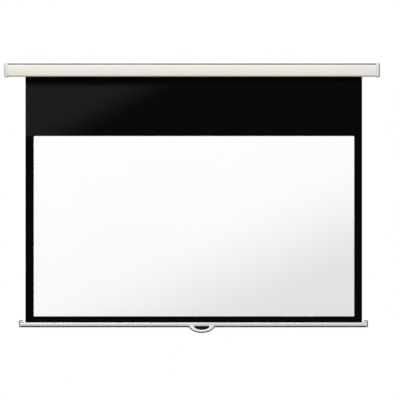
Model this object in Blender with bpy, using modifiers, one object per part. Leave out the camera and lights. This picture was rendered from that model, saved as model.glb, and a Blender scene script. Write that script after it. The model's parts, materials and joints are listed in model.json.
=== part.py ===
"""A manual pull-down projector screen, modelled with its cloth pulled down.

Metres. +X runs to the right along the case, +Y towards the wall, +Z up. The origin is on the case's
flat back, half way along the extrusion and level with the roller's axis. A spring roller hangs in an
open-bottomed aluminium case. Its black-bordered cloth leaves the back of the roller, drops through
the slot and carries a weighted slat with a handle. Every sub-part is an object of its own.
"""

import math

import bmesh
import bpy
from mathutils import Matrix, Vector

# Picture: 92 inches across its corners at 16:9
PICTURE_WIDTH = 2.037
PICTURE_HEIGHT = 1.146
PICTURE_CENTRE_X = 0.0127
PICTURE_TOP = -0.4195
PICTURE_CORNER = 0.006

# Case
CASE_HALF = 1.172
CASE_TOP = 0.033
CASE_BOTTOM = -0.0425
CASE_WALL = 0.0018
CASE_FRONT = -0.080
CASE_BOW_CENTRE = -0.004
CASE_BOW_RADIUS = 0.30
CHIN_RADIUS = 0.012
RECESS_DEPTH = 0.004
RECESS_BOTTOM = 0.005
SLOT_BACK = -0.013
SLOT_FRONT = -0.027
LIP_HEIGHT = 0.005
BOSS_RADIUS = 0.004
BOSS_HOLE = 0.0019
BOSSES = ((-0.0095, 0.0275), (-0.0732, 0.0275), (-0.0721, -0.0358), (-0.0062, -0.0369))
RIVET_HOLE = 0.0019

# End caps and the steel plates behind them
CAP_OUTER = 1.195
CAP_INNER = 1.1723
CAP_HALF_HEIGHT = 0.047
CAP_FRONT = -0.0845
CAP_WALL = 0.0022
CAP_SHOULDER = 1.184
DOME_DEPTH = 0.775
DOME_HEIGHT = 0.85
DOME_POWER = 1.5
DOME_RINGS = 6
CAP_COLUMN_RADIUS = 0.006
CAP_SCREW_HEIGHTS = (0.026, -0.028)
CAP_SCREW_HOLE = 0.0022
CAP_SCREW_SEAT = 1.1918
CAP_HEAD_HOLE = 0.0044
PLATE_INNER = 1.1723
PLATE_THICKNESS = 0.002
PLATE_CORNERS = (
    (-0.0029, -0.0405, 0.003),
    (-0.0029, 0.0315, 0.003),
    (-0.0765, 0.0315, 0.006),
    (-0.0765, -0.0405, 0.010),
)
TONGUE_HALF = (0.0040, 0.0020)

# Mounting rail on the case and the wall brackets that it hooks on
RAIL_TOP = 0.0425
RAIL_FLOOR = 0.0333
RAIL_WALL = 0.0017
RAIL_FRONT = -0.070
RAIL_HALF = 1.1712
RAIL_REAR_TOP = 0.039
RAIL_REAR_WALL = 0.0015
RAIL_LIP = 0.0006
RIVET_PLACES = (-1.10, -0.38, 0.38, 1.10)
RIVET_Y = -0.045
BRACKET_PLACES = {"left": -0.70, "right": 0.70}
BRACKET_WIDTH = 0.060
BRACKET_BOTTOM = 0.008
BRACKET_TOP = 0.0418
BRACKET_PLATE = 0.003
BRACKET_FLANGE = 0.0025
BRACKET_REACH = 0.022
BRACKET_HOOK = (-0.0086, -0.0061, 0.036)
BRACKET_BEND = 0.0035
BRACKET_HOLE_SPACING = 0.030
BRACKET_HOLE_HEIGHT = 0.026
BRACKET_HOLE_RADIUS = 0.00275
LOCK_SCREW_Y = -0.016
LOCK_SCREW_HOLE = 0.0023
HEX_SOCKET_RADIUS = 0.0011

# Roller
ROLLER_Y = -0.0435
TUBE_RADIUS = 0.021
TUBE_BORE = 0.0198
TUBE_LEFT = -1.1297
TUBE_RIGHT = 1.1197
CLOTH_THICKNESS = 0.0005
WRAP_PITCH = 0.00095
WRAP_TURNS = 2
WRAP_START_RADIUS = 0.0216
EXIT_RADIUS = WRAP_START_RADIUS + WRAP_TURNS * WRAP_PITCH
CLOTH_Y = ROLLER_Y + EXIT_RADIUS

# Spring motor and ratchet, at the left end of the roller
RATCHET_RADIUS = 0.0075
RATCHET_ROOT = 0.0056
RATCHET_TEETH = 4
RATCHET_X = (-1.143, -1.137)
PAWL_X = (-1.1426, -1.1374)
PAWL_HOLE = 0.0015
PAWL_PIN_OFFSET = 0.0123
PAWL_TIP = (-0.0065, 0.0066)
PAWL_EYE = 0.0025
PAWL_TIP_RADIUS = 0.0012
SPRING_WIRE = 0.0011
SPRING_RADIUS = 0.012
SPRING_TURNS = 24
SPRING_POINTS = 10
SPRING_X = (-1.085, -0.660)
SPRING_TAIL = 0.0028

# Cloth
CLOTH_LEFT = -1.059
CLOTH_RIGHT = 1.0815
HEM_TOP = -1.5689
GAP = 0.0003
HEM_RADIUS = 0.0035
HEM_BORE = 0.0028
HEM_HALF = 0.0005
ROD_SHORTER = 0.004

# Slat
SLAT_LEFT = -1.100
SLAT_RIGHT = 1.119
SLAT_TOP = -1.6035
SLAT_UNDERSIDE = -1.627
SLAT_BOTTOM = -1.6353
SLAT_HALF_DEPTH = 0.010
SLAT_CROWN = 0.008
SLAT_HEEL = 0.004
ROD_RADIUS = 0.0024
ROD_DEPTH = 0.0063
GROOVE_RADIUS = 0.0041
GROOVE_HALF_MOUTH = 0.0012
CHANNEL_TOP = -1.6175
CHANNEL_SHOULDER = -1.624
CHANNEL_HALF = 0.0045
CHANNEL_HALF_MOUTH = 0.003
TEE_HEIGHT = 0.0018
TRIM_CHAMFER = 0.003
HORN_TOP = -1.5914
HORN_LENGTH = 0.026
HORN_SLOPE = 0.0055
BUMPER_THICKNESS = 0.0050
END_THICKNESS = 0.003
END_SCREW_Z = -1.620
END_SCREW_HOLE = 0.0019
END_HEAD_HOLE = 0.0038
END_EDGE = 0.0006

# Handle
HANDLE_X = 0.062
HANDLE_FRONT = -0.036
HANDLE_BACK = -0.0306
CUP_FRONT = -0.0303
CUP_BACK = -0.0067
CUP_FLOOR = -0.010
HANDLE_BOTTOM = -1.671
HANDLE_HALF_WIDTH = 0.0855
HANDLE_RISE = 0.0096
HANDLE_RIM = 0.0065
GRIP_HALF_WIDTH = 0.0490
GRIP_TOP = -1.628
GRIP_BOTTOM = -1.6514
EAR_TOP = -1.6206
EAR_INSET = 0.0015
EAR_OUTSET = 0.0035
EAR_RADII = (0.0020, 0.0035)
HANDLE_EDGE = 0.0016
CUP_EDGE = 0.0008
FLANGE_MARGIN = 0.010
FLANGE_TOP = -1.6125
FLANGE_CORNER = 0.005
HANDLE_SCREW_OFFSET = 0.045
HANDLE_SCREW_Z = -1.6195
HANDLE_SCREW_HOLE = 0.0021
LUG_HALF_LENGTH = 0.060

# Turned pieces, as (x, radius), from high x to low x on the outer side
RIVET_PROFILE = (
    (0.0007, 0),
    (0.0007, 0.0007),
    (0.0013, 0.0010),
    (0.0010, 0.0021),
    (0.0005, 0.0029),
    (0, 0.0032),
    (0, 0.0016),
    (-0.0051, 0.0016),
    (-0.0051, 0),
)
LOCK_SCREW_PROFILE = (
    (0.0414, 0),
    (0.0414, 0.0020),
    (0.0358, 0.0020),
    (0.0354, 0.0012),
    (0.0354, 0),
)
SPINDLE_PROFILE = (
    (-1.094, 0),
    (-1.094, 0.0040),
    (-1.168, 0.0040),
    (-1.168, 0.0065),
    (-1.1717, 0.0065),
    (-1.1717, 0),
)
PAWL_PIN_PROFILE = (
    (-1.128, 0),
    (-1.128, 0.0012),
    (-1.1430, 0.0012),
    (-1.1430, 0.0021),
    (-1.1440, 0.0021),
    (-1.1440, 0),
)
HOUSING_PROFILE = (
    (-1.108, 0.0195),
    (-1.130, 0.0195),
    (-1.130, TUBE_RADIUS),
    (-1.145, TUBE_RADIUS),
    (-1.145, 0.0153),
    (-1.133, 0.0153),
    (-1.133, 0.0044),
    (-1.108, 0.0044),
)
ARBOR_PROFILE = (
    (-0.636, 0),
    (-0.636, 0.006),
    (-1.104, 0.006),
    (-1.104, 0.0043),
    (-1.090, 0.0043),
    (-1.090, 0),
)
TUBE_PROFILE = (
    (TUBE_RIGHT, TUBE_RADIUS),
    (TUBE_LEFT, TUBE_RADIUS),
    (TUBE_LEFT, TUBE_BORE),
    (TUBE_RIGHT, TUBE_BORE),
)
ANCHOR_PROFILE = (
    (-0.640, 0.0194),
    (-0.655, 0.0194),
    (-0.655, 0.0064),
    (-0.640, 0.0064),
)
IDLE_PLUG_PROFILE = (
    (1.123, TUBE_RADIUS),
    (1.120, TUBE_RADIUS),
    (1.120, 0.0195),
    (1.095, 0.0195),
    (1.095, 0.0056),
    (1.123, 0.0056),
)
IDLE_BUSH_PROFILE = (
    (1.1253, 0.0080),
    (1.1233, 0.0080),
    (1.1233, 0.0053),
    (1.098, 0.0053),
    (1.098, 0.0044),
    (1.1253, 0.0044),
)
IDLE_PIN_PROFILE = (
    (1.179, 0),
    (1.179, 0.004),
    (1.1718, 0.004),
    (1.1718, 0.007),
    (1.1685, 0.007),
    (1.1685, 0.004),
    (1.100, 0.004),
    (1.100, 0),
)

ROUND_STEPS = 24
SMALL_STEPS = 12
RIVET_STEPS = 16
WELD = 1e-6
SMOOTH_ANGLE = math.radians(32)
FLAT_ANGLE = math.radians(0.5)

# Local X, Y and Z of an outline drawn in the YZ plane, as world directions: it is extruded along X
ALONG_X = Matrix(((0, 0, 1, 0), (1, 0, 0, 0), (0, 1, 0, 0), (0, 0, 0, 1)))
# The same for an outline drawn in the XZ plane, extruded along Y
ALONG_Y = Matrix(((1, 0, 0, 0), (0, 0, -1, 0), (0, 1, 0, 0), (0, 0, 0, 1)))

for old in list(bpy.data.objects):
    bpy.data.objects.remove(old, do_unlink=True)

PARTS = bpy.data.collections.new("pull_down_projector_screen")
CUTTERS = bpy.data.collections.new("cutters")
for collection in (PARTS, CUTTERS):
    bpy.context.scene.collection.children.link(collection)
CUTTERS.hide_render = True


def finish(name, colour, roughness, metallic=0.0):
    """A Principled BSDF material with one colour."""
    made = bpy.data.materials.new(name)
    made.use_nodes = True
    shader = made.node_tree.nodes["Principled BSDF"]
    shader.inputs["Base Color"].default_value = (*colour, 1.0)
    shader.inputs["Roughness"].default_value = roughness
    shader.inputs["Metallic"].default_value = metallic
    return made


COATED_WHITE = finish("coated_white", (0.78, 0.77, 0.71), 0.38)
MOULDED_WHITE = finish("moulded_white", (0.76, 0.76, 0.72), 0.45)
GREY_RAIL = finish("grey_rail", (0.30, 0.30, 0.28), 0.42, 0.6)
PLATED_STEEL = finish("plated_steel", (0.62, 0.62, 0.60), 0.35, 0.9)
TUBE_STEEL = finish("tube_steel", (0.55, 0.56, 0.57), 0.45, 0.8)
SPRING_STEEL = finish("spring_steel", (0.35, 0.35, 0.36), 0.35, 0.9)
DARK_PLASTIC = finish("dark_plastic", (0.05, 0.05, 0.05), 0.55)
NATURAL_NYLON = finish("natural_nylon", (0.80, 0.78, 0.70), 0.50)
RUBBER = finish("rubber", (0.045, 0.045, 0.045), 0.80)
BLACK_CLOTH = finish("black_cloth", (0.006, 0.006, 0.006), 0.60)
MATT_WHITE = finish("matt_white", (0.90, 0.90, 0.90), 0.90)
SATIN_SLAT = finish("satin_slat", (0.70, 0.70, 0.70), 0.35, 0.2)


def place(name, mesh, material, matrix=None):
    """A part: an object named name in the parts collection."""
    obj = bpy.data.objects.new(name, mesh)
    if not mesh.materials:
        mesh.materials.append(material)
    if matrix is not None:
        obj.matrix_world = matrix
    PARTS.objects.link(obj)
    return obj


def smooth(mesh):
    mesh.shade_smooth()
    mesh.set_sharp_from_angle(angle=SMOOTH_ANGLE)
    return mesh


def evaluated_mesh(obj):
    """The object's final mesh, in its own axes, with loose caps welded on."""
    bpy.context.view_layer.update()
    graph = bpy.context.evaluated_depsgraph_get()
    mesh = bpy.data.meshes.new_from_object(obj.evaluated_get(graph))
    work = bmesh.new()
    work.from_mesh(mesh)
    bmesh.ops.remove_doubles(work, verts=work.verts, dist=WELD)
    bmesh.ops.recalc_face_normals(work, faces=work.faces)
    work.to_mesh(mesh)
    work.free()
    return mesh


def mesh_and_remove(obj):
    mesh = evaluated_mesh(obj)
    bpy.data.objects.remove(obj, do_unlink=True)
    return mesh


def outline_mesh(outlines, depth):
    """A flat outline with any holes, extruded to depth about its own plane."""
    curve = bpy.data.curves.new("outline", "CURVE")
    curve.dimensions = "2D"
    curve.fill_mode = "BOTH"
    curve.extrude = depth / 2
    for outline in outlines:
        spline = curve.splines.new("POLY")
        spline.points.add(len(outline) - 1)
        for point, (across, up) in zip(spline.points, outline, strict=True):
            point.co = (across, up, 0, 1)
        spline.use_cyclic_u = True
    holder = bpy.data.objects.new("outline", curve)
    CUTTERS.objects.link(holder)
    return mesh_and_remove(holder)


def merge_flats(mesh):
    """Joins the triangles of each flat face, so that holes cut cleanly."""
    work = bmesh.new()
    work.from_mesh(mesh)
    bmesh.ops.dissolve_degenerate(work, dist=WELD, edges=work.edges)
    bmesh.ops.dissolve_limit(work, angle_limit=FLAT_ANGLE, verts=work.verts, edges=work.edges)
    work.to_mesh(mesh)
    work.free()


def round_ends(mesh, width, ends=(-1, 1)):
    """Rounds the edges of an extruded outline's end faces, which lie below and above local Z = 0."""
    work = bmesh.new()
    work.from_mesh(mesh)
    bmesh.ops.dissolve_limit(work, angle_limit=FLAT_ANGLE, verts=work.verts, edges=work.edges)
    half = max(vertex.co.z for vertex in work.verts)
    planes = [end * half for end in ends]
    edges = [
        edge
        for edge in work.edges
        if any(all(abs(vertex.co.z - plane) < WELD for vertex in edge.verts) for plane in planes)
    ]
    bmesh.ops.bevel(work, geom=edges, offset=width, segments=3, profile=0.5, affect="EDGES")
    work.to_mesh(mesh)
    work.free()
    return mesh


def extruded_x(name, outlines, low, high, material):
    """A part whose outlines are lists of (y, z), from x = low to x = high."""
    mesh = outline_mesh(outlines, high - low)
    middle = Matrix.Translation(((low + high) / 2, 0, 0))
    return place(name, mesh, material, middle @ ALONG_X)


def extruded_y(name, outlines, low, high, material, edge=0.0):
    """A part whose outlines are lists of (x, z), from y = low to y = high."""
    mesh = outline_mesh(outlines, high - low)
    if edge:
        round_ends(mesh, edge)
    middle = Matrix.Translation((0, (low + high) / 2, 0))
    return place(name, mesh, material, middle @ ALONG_Y)


def rod_mesh(radius, length, steps):
    """A plain cylinder along Z about the middle of its length."""
    mesh = bpy.data.meshes.new("rod")
    work = bmesh.new()
    bmesh.ops.create_cone(
        work, cap_ends=True, segments=steps, radius1=radius, radius2=radius, depth=length
    )
    work.to_mesh(mesh)
    work.free()
    return mesh


def box_mesh(low, high):
    """A box between two corners."""
    low, high = Vector(low), Vector(high)
    mesh = bpy.data.meshes.new("box")
    work = bmesh.new()
    size = Matrix.Diagonal((*(high - low), 1))
    bmesh.ops.create_cube(work, size=1, matrix=Matrix.Translation((low + high) / 2) @ size)
    work.to_mesh(mesh)
    work.free()
    return mesh


def turned_mesh(profile, steps=ROUND_STEPS, ring=False):
    """A profile of (x, radius) turned about X. It runs from high x to low x on its outer side.

    A ring's profile is a closed loop that comes back along its bore.
    """
    mesh = bpy.data.meshes.new("profile")
    points = [(radius, 0, along) for along, radius in profile]
    edges = [(i, i + 1) for i in range(len(points) - 1)]
    if ring:
        edges.append((len(points) - 1, 0))
    mesh.from_pydata(points, edges, [])
    holder = bpy.data.objects.new("profile", mesh)
    CUTTERS.objects.link(holder)
    screw = holder.modifiers.new("turn", "SCREW")
    screw.axis = "Z"
    screw.steps = screw.render_steps = steps
    screw.use_merge_vertices = True
    screw.merge_threshold = WELD
    return mesh_and_remove(holder)


def turned(name, profile, material, steps=ROUND_STEPS, ring=False, y=ROLLER_Y, z=0.0):
    """A part turned about a line along X through (y, z)."""
    mesh = smooth(turned_mesh(profile, steps, ring))
    return place(name, mesh, material, Matrix.Translation((0, y, z)) @ ALONG_X)


def cutter(name, mesh, matrix=None):
    """A hidden object for a Boolean."""
    obj = bpy.data.objects.new(name, mesh)
    if matrix is not None:
        obj.matrix_world = matrix
    obj.hide_render = True
    obj.display_type = "WIRE"
    CUTTERS.objects.link(obj)
    return obj


def combine(obj, other, operation):
    change = obj.modifiers.new(other.name, "BOOLEAN")
    change.operation = operation
    change.solver = "EXACT"
    change.object = other
    return obj


def cut(obj, mesh, matrix=None):
    return combine(obj, cutter("cut_" + obj.name, mesh, matrix), "DIFFERENCE")


def add(obj, mesh, matrix=None):
    return combine(obj, cutter("add_" + obj.name, mesh, matrix), "UNION")


def between(start, end):
    """Where a mesh made along Z about its middle goes, to lie from start to end."""
    start, end = Vector(start), Vector(end)
    turn = (end - start).to_track_quat("Z", "Y").to_matrix().to_4x4()
    return Matrix.Translation((start + end) / 2) @ turn


def drill(obj, radius, start, end, steps=SMALL_STEPS):
    length = (Vector(end) - Vector(start)).length
    return cut(obj, rod_mesh(radius, length, steps), between(start, end))


def stud(obj, radius, start, end, steps=SMALL_STEPS):
    length = (Vector(end) - Vector(start)).length
    return add(obj, rod_mesh(radius, length, steps), between(start, end))


def circle(radius, steps, across=0.0, up=0.0):
    turns = [2 * math.pi * i / steps for i in range(steps)]
    return [(across + radius * math.cos(a), up + radius * math.sin(a)) for a in turns]


def arc(centre, radius, start, end, steps):
    """Points on a circle from angle start to angle end, in degrees, both ends included."""
    angles = [math.radians(start + (end - start) * i / steps) for i in range(steps + 1)]
    return [(centre[0] + radius * math.cos(a), centre[1] + radius * math.sin(a)) for a in angles]


def rounded(corners, closed=True, steps=4):
    """An outline from corners given as (across, up, radius)."""
    count = len(corners)
    made = []
    for i, (across, up, radius) in enumerate(corners):
        here = Vector((across, up))
        if radius <= 0 or (not closed and i in (0, count - 1)):
            made.append((across, up))
            continue
        before = (Vector(corners[i - 1][:2]) - here).normalized()
        after = (Vector(corners[(i + 1) % count][:2]) - here).normalized()
        half = before.angle(after) / 2
        centre = here + (before + after).normalized() * (radius / math.sin(half))
        first = here + before * (radius / math.tan(half)) - centre
        last = here + after * (radius / math.tan(half)) - centre
        turn = first.angle_signed(last)
        for k in range(steps + 1):
            spoke = Matrix.Rotation(-turn * k / steps, 2) @ first
            made.append((centre.x + spoke.x, centre.y + spoke.y))
    return made


def inset(corners, distance, closed=True):
    """Corners moved to their left by distance, for an outline that runs anticlockwise."""
    count = len(corners)
    made = []
    for i, (across, up, radius) in enumerate(corners):
        here = Vector((across, up))
        has_before = closed or i > 0
        has_after = closed or i < count - 1
        before = here - Vector(corners[i - 1][:2]) if has_before else None
        after = Vector(corners[(i + 1) % count][:2]) - here if has_after else None
        before = (before or after).normalized()
        after = (after or before).normalized()
        left_before = Vector((-before.y, before.x))
        left_after = Vector((-after.y, after.x))
        bisector = (left_before + left_after).normalized()
        moved = here + bisector * (distance / bisector.dot(left_before))
        turn = before.cross(after)
        inner = radius + distance if turn < 0 else max(radius - distance, 0.0)
        made.append((moved.x, moved.y, inner if radius > 0 else 0.0))
    return made


def bow(front, centre, heights):
    """Points down the bowed front of the case or a cap."""
    return [(front + (z - centre) ** 2 / (2 * CASE_BOW_RADIUS), z, 0.0) for z in heights]


def case_corners():
    """The case's outer side, from the rear lip round the back, top and front to the front lip."""
    top = bow(CASE_FRONT, CASE_BOW_CENTRE, [CASE_TOP])[0]
    bottom = bow(CASE_FRONT, CASE_BOW_CENTRE, [CASE_BOTTOM])[0]
    face = bow(CASE_FRONT, CASE_BOW_CENTRE, [0.024 - 0.008 * i for i in range(8)])
    return [
        (SLOT_BACK, CASE_BOTTOM + LIP_HEIGHT, 0),
        (SLOT_BACK, CASE_BOTTOM, 0.0008),
        (0, CASE_BOTTOM, 0.0025),
        (0, RECESS_BOTTOM, 0.0008),
        (-RECESS_DEPTH, RECESS_BOTTOM, 0.0008),
        (-RECESS_DEPTH, CASE_TOP, 0.0010),
        (top[0], top[1], 0.0025),
        *face,
        (bottom[0], bottom[1], CHIN_RADIUS),
        (SLOT_FRONT, CASE_BOTTOM, 0.0008),
        (SLOT_FRONT, CASE_BOTTOM + LIP_HEIGHT, 0),
    ]


def make_case():
    outer = case_corners()
    inner = inset(outer, CASE_WALL, closed=False)
    section = rounded(outer, closed=False) + rounded(inner, closed=False)[::-1]
    case = extruded_x("case", [section], -CASE_HALF, CASE_HALF, COATED_WHITE)
    for y, z in BOSSES:
        stud(case, BOSS_RADIUS, (-CASE_HALF, y, z), (CASE_HALF, y, z))
    for y, z in BOSSES:
        drill(case, BOSS_HOLE, (-1.01 * CASE_HALF, y, z), (1.01 * CASE_HALF, y, z))
    for x in RIVET_PLACES:
        drill(case, RIVET_HOLE, (x, RIVET_Y, CASE_TOP - 0.003), (x, RIVET_Y, CASE_TOP + 0.001))
    smooth(case.data)


def rail_section():
    """A channel: a low rear wall for the brackets' hooks, and a taller front wall that shows."""
    rear = -RECESS_DEPTH
    return [
        (rear, RAIL_FLOOR),
        (rear, RAIL_REAR_TOP),
        (rear - RAIL_REAR_WALL, RAIL_REAR_TOP),
        (rear - RAIL_REAR_WALL, RAIL_FLOOR + RAIL_WALL),
        (RAIL_FRONT + RAIL_WALL, RAIL_FLOOR + RAIL_WALL),
        (RAIL_FRONT + RAIL_WALL, RAIL_TOP),
        *arc((RAIL_FRONT + RAIL_LIP, RAIL_TOP - RAIL_LIP), RAIL_LIP, 90, 180, 2),
        (RAIL_FRONT, RAIL_FLOOR),
    ]


def make_rail():
    rail = extruded_x("top_rail", [rail_section()], -RAIL_HALF, RAIL_HALF, GREY_RAIL)
    for x in RIVET_PLACES:
        drill(rail, RIVET_HOLE, (x, RIVET_Y, RAIL_FLOOR - 0.001), (x, RIVET_Y, RAIL_FLOOR + 0.003))
    rivet = smooth(turned_mesh(RIVET_PROFILE, RIVET_STEPS))
    for number, x in enumerate(RIVET_PLACES, 1):
        head = Matrix.Translation((x, RIVET_Y, RAIL_FLOOR + RAIL_WALL + GAP))
        place(f"rail_rivet_{number}", rivet, PLATED_STEEL, head)


def cap_corners():
    heights = [0.036 - 0.009 * i for i in range(9)]
    face = bow(CAP_FRONT, 0.0, heights)
    edge = bow(CAP_FRONT, 0.0, [CAP_HALF_HEIGHT])[0][0]
    return [
        (0, -CAP_HALF_HEIGHT, 0.0055),
        (0, CAP_HALF_HEIGHT, 0.0055),
        (edge, CAP_HALF_HEIGHT, 0.008),
        *face,
        (edge, -CAP_HALF_HEIGHT, CHIN_RADIUS),
    ]


def dome_end(mesh, sign):
    """Carries an extruded outline on past its end face, towards sign, through ever smaller rings.

    A ring is the outline drawn in towards the middle of its back, so the back stays flat.
    """
    work = bmesh.new()
    work.from_mesh(mesh)
    bmesh.ops.dissolve_limit(work, angle_limit=FLAT_ANGLE, verts=work.verts, edges=work.edges)
    face = max(work.faces, key=lambda each: sign * each.calc_center_median().z)
    start = face.calc_center_median().z
    outline = [tuple(vertex.co) for vertex in face.verts]
    for i in range(1, DOME_RINGS + 1):
        turn = math.pi / 2 * i / DOME_RINGS
        outwards = (CAP_OUTER - CAP_SHOULDER) * math.sin(turn) ** DOME_POWER
        drawn_in = 1 - math.cos(turn) ** DOME_POWER
        depth, height = 1 - (1 - DOME_DEPTH) * drawn_in, 1 - (1 - DOME_HEIGHT) * drawn_in
        face = bmesh.ops.extrude_discrete_faces(work, faces=[face])["faces"][0]
        for vertex, (across, up, _) in zip(face.verts, outline, strict=True):
            vertex.co = (across * depth, up * height, start + sign * outwards)
    work.to_mesh(mesh)
    work.free()
    return mesh


def make_cap(side, sign):
    """A moulded cup with a domed end, over the plate and its screws. Two screws in columns hold it."""
    corners = cap_corners()
    root = CAP_INNER - 0.015
    low, high = sorted((sign * root, sign * CAP_SHOULDER))
    cap = extruded_x(side + "_end_cap", [rounded(corners)], low, high, MOULDED_WHITE)
    dome_end(cap.data, sign)
    deep = 0.040
    hollow = dome_end(outline_mesh([rounded(inset(corners, CAP_WALL))], deep), sign)
    middle = CAP_SHOULDER - CAP_WALL - deep / 2
    cut(cap, hollow, Matrix.Translation((sign * middle, 0, 0)) @ ALONG_X)
    wall = CAP_OUTER - CAP_WALL
    low, high = sorted((sign * (root - 0.01), sign * CAP_INNER))
    cut(cap, box_mesh((low, -0.10, -0.06), (high, 0.02, 0.06)))
    column_end = PLATE_INNER + PLATE_THICKNESS + GAP
    for z in CAP_SCREW_HEIGHTS:
        foot = (sign * column_end, ROLLER_Y, z)
        stud(cap, CAP_COLUMN_RADIUS, foot, (sign * (wall + 0.001), ROLLER_Y, z))
    for z in CAP_SCREW_HEIGHTS:
        outside = (sign * (CAP_OUTER + 0.005), ROLLER_Y, z)
        drill(cap, CAP_SCREW_HOLE, (sign * (column_end - 0.002), ROLLER_Y, z), outside)
        drill(cap, CAP_HEAD_HOLE, (sign * CAP_SCREW_SEAT, ROLLER_Y, z), outside)
    smooth(cap.data)


def make_plate(side, sign):
    """The steel plate that closes the case's end and carries the roller."""
    screw_holes = [*BOSSES, *((ROLLER_Y, z) for z in CAP_SCREW_HEIGHTS)]
    holes = [circle(CAP_SCREW_HOLE, SMALL_STEPS, y, z) for y, z in screw_holes]
    if side == "left":
        across, up = (half + GAP for half in TONGUE_HALF)
        slot = [(across, -up), (across, up), (-across, up), (-across, -up)]
        holes.append([(ROLLER_Y + y, z) for y, z in slot])
    else:
        holes.append(circle(TONGUE_HALF[0] + GAP, ROUND_STEPS, ROLLER_Y, 0))
    low, high = sorted((sign * PLATE_INNER, sign * (PLATE_INNER + PLATE_THICKNESS)))
    outline = rounded(PLATE_CORNERS)
    extruded_x(side + "_end_plate", [outline, *holes], low, high, PLATED_STEEL)


def screw_mesh(head, height, shank, length, recess=True, steps=SMALL_STEPS):
    """A pan-head screw: the head's underside is at z = 0 and the shank runs down from it."""
    profile = [
        (height, 0),
        (height, 0.55 * head),
        (0.72 * height, 0.88 * head),
        (0.30 * height, head),
        (0, head),
        (0, shank),
        (-length + shank, shank),
        (-length, 0.35 * shank),
        (-length, 0),
    ]
    mesh = turned_mesh(profile, steps)
    if recess:
        holder = bpy.data.objects.new("screw", mesh)
        CUTTERS.objects.link(holder)
        long, thin = 0.62 * head, 0.13 * head
        for across, along in ((long, thin), (thin, long)):
            slot = box_mesh((-across, -along, 0.4 * height), (across, along, 2 * height))
            cut(holder, slot)
        mesh = mesh_and_remove(holder)
    return smooth(mesh)


def screw_at(name, mesh, place_of_head, towards_head):
    turn = Vector(towards_head).to_track_quat("Z", "Y").to_matrix().to_4x4()
    return place(name, mesh, PLATED_STEEL, Matrix.Translation(place_of_head) @ turn)


def make_end_screws(side, sign, plate_screw, cap_screw):
    seat = PLATE_INNER + PLATE_THICKNESS + GAP
    for number, (y, z) in enumerate(BOSSES, 1):
        screw_at(f"{side}_plate_screw_{number}", plate_screw, (sign * seat, y, z), (sign, 0, 0))
    for level, z in zip(("upper", "lower"), CAP_SCREW_HEIGHTS, strict=True):
        at = (sign * (CAP_SCREW_SEAT + GAP), ROLLER_Y, z)
        screw_at(f"{side}_cap_screw_{level}", cap_screw, at, (sign, 0, 0))


def bracket_section():
    """A plate against the wall with a hook that drops into the rail."""
    under = BRACKET_TOP - BRACKET_FLANGE
    hook_front, hook_back, hook_tip = BRACKET_HOOK
    return rounded([
        (0, BRACKET_BOTTOM, 0),
        (0, BRACKET_TOP, BRACKET_BEND),
        (-BRACKET_REACH, BRACKET_TOP, 0.0006),
        (-BRACKET_REACH, under, 0.0006),
        (hook_front, under, 0),
        (hook_front, hook_tip, 0.0010),
        (hook_back, hook_tip, 0.0010),
        (hook_back, under, 0),
        (-BRACKET_PLATE, under, 0),
        (-BRACKET_PLATE, BRACKET_BOTTOM, 0),
    ])


def make_bracket(side, x):
    low, high = x - BRACKET_WIDTH / 2, x + BRACKET_WIDTH / 2
    bracket = extruded_x(side + "_wall_bracket", [bracket_section()], low, high, PLATED_STEEL)
    merge_flats(bracket.data)
    for offset in (-BRACKET_HOLE_SPACING / 2, BRACKET_HOLE_SPACING / 2):
        start = (x + offset, -BRACKET_PLATE - 0.002, BRACKET_HOLE_HEIGHT)
        end = (x + offset, 0.001, BRACKET_HOLE_HEIGHT)
        drill(bracket, BRACKET_HOLE_RADIUS, start, end, ROUND_STEPS)
    below = BRACKET_TOP - BRACKET_FLANGE - 0.001
    drill(bracket, LOCK_SCREW_HOLE, (x, LOCK_SCREW_Y, below), (x, LOCK_SCREW_Y, BRACKET_TOP + 0.001))
    at = Matrix.Translation((x, LOCK_SCREW_Y, 0))
    mesh = smooth(turned_mesh(LOCK_SCREW_PROFILE, SMALL_STEPS))
    lock = place(side + "_lock_screw", mesh, PLATED_STEEL, at)
    socket = rod_mesh(HEX_SOCKET_RADIUS, 0.004, 6)
    cut(lock, socket, at @ Matrix.Translation((0, 0, BRACKET_TOP - 0.0008)))


def ratchet_outline():
    """Saw teeth: going anticlockwise the radius falls, then steps up at the next tooth's face."""
    steps = 5
    tooth = 2 * math.pi / RATCHET_TEETH
    made = []
    for number in range(RATCHET_TEETH):
        for k in range(steps + 1):
            angle = tooth * (number + k / steps)
            radius = RATCHET_RADIUS + (RATCHET_ROOT - RATCHET_RADIUS) * k / steps
            made.append((ROLLER_Y + radius * math.cos(angle), radius * math.sin(angle)))
    return made


def make_spindle():
    """The fixed spindle: a flat tongue for the plate's slot, a collar, and the ratchet wheel."""
    spindle = turned("ratchet_spindle", SPINDLE_PROFILE, PLATED_STEEL)
    wheel = outline_mesh([ratchet_outline()], RATCHET_X[1] - RATCHET_X[0])
    add(spindle, wheel, Matrix.Translation((sum(RATCHET_X) / 2, 0, 0)) @ ALONG_X)
    across, up = TONGUE_HALF
    tongue_end, tongue_root = -1.180, -1.170
    tongue = box_mesh((tongue_end, ROLLER_Y - across, -up), (tongue_root, ROLLER_Y + across, up))
    add(spindle, tongue)


def pawl_outline():
    """The pawl's two round ends and the straight sides between them, about the pin."""
    tip = Vector(PAWL_TIP) - Vector((0, PAWL_PIN_OFFSET))
    heading = math.degrees(math.atan2(tip.y, tip.x))
    lean = math.degrees(math.asin((PAWL_EYE - PAWL_TIP_RADIUS) / tip.length))
    start, end = heading + 90 - lean, heading + 270 + lean
    eye = arc((0, 0), PAWL_EYE, start, end, 8)
    point = arc(tip, PAWL_TIP_RADIUS, end - 360, start, 5)
    return eye + point


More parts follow.
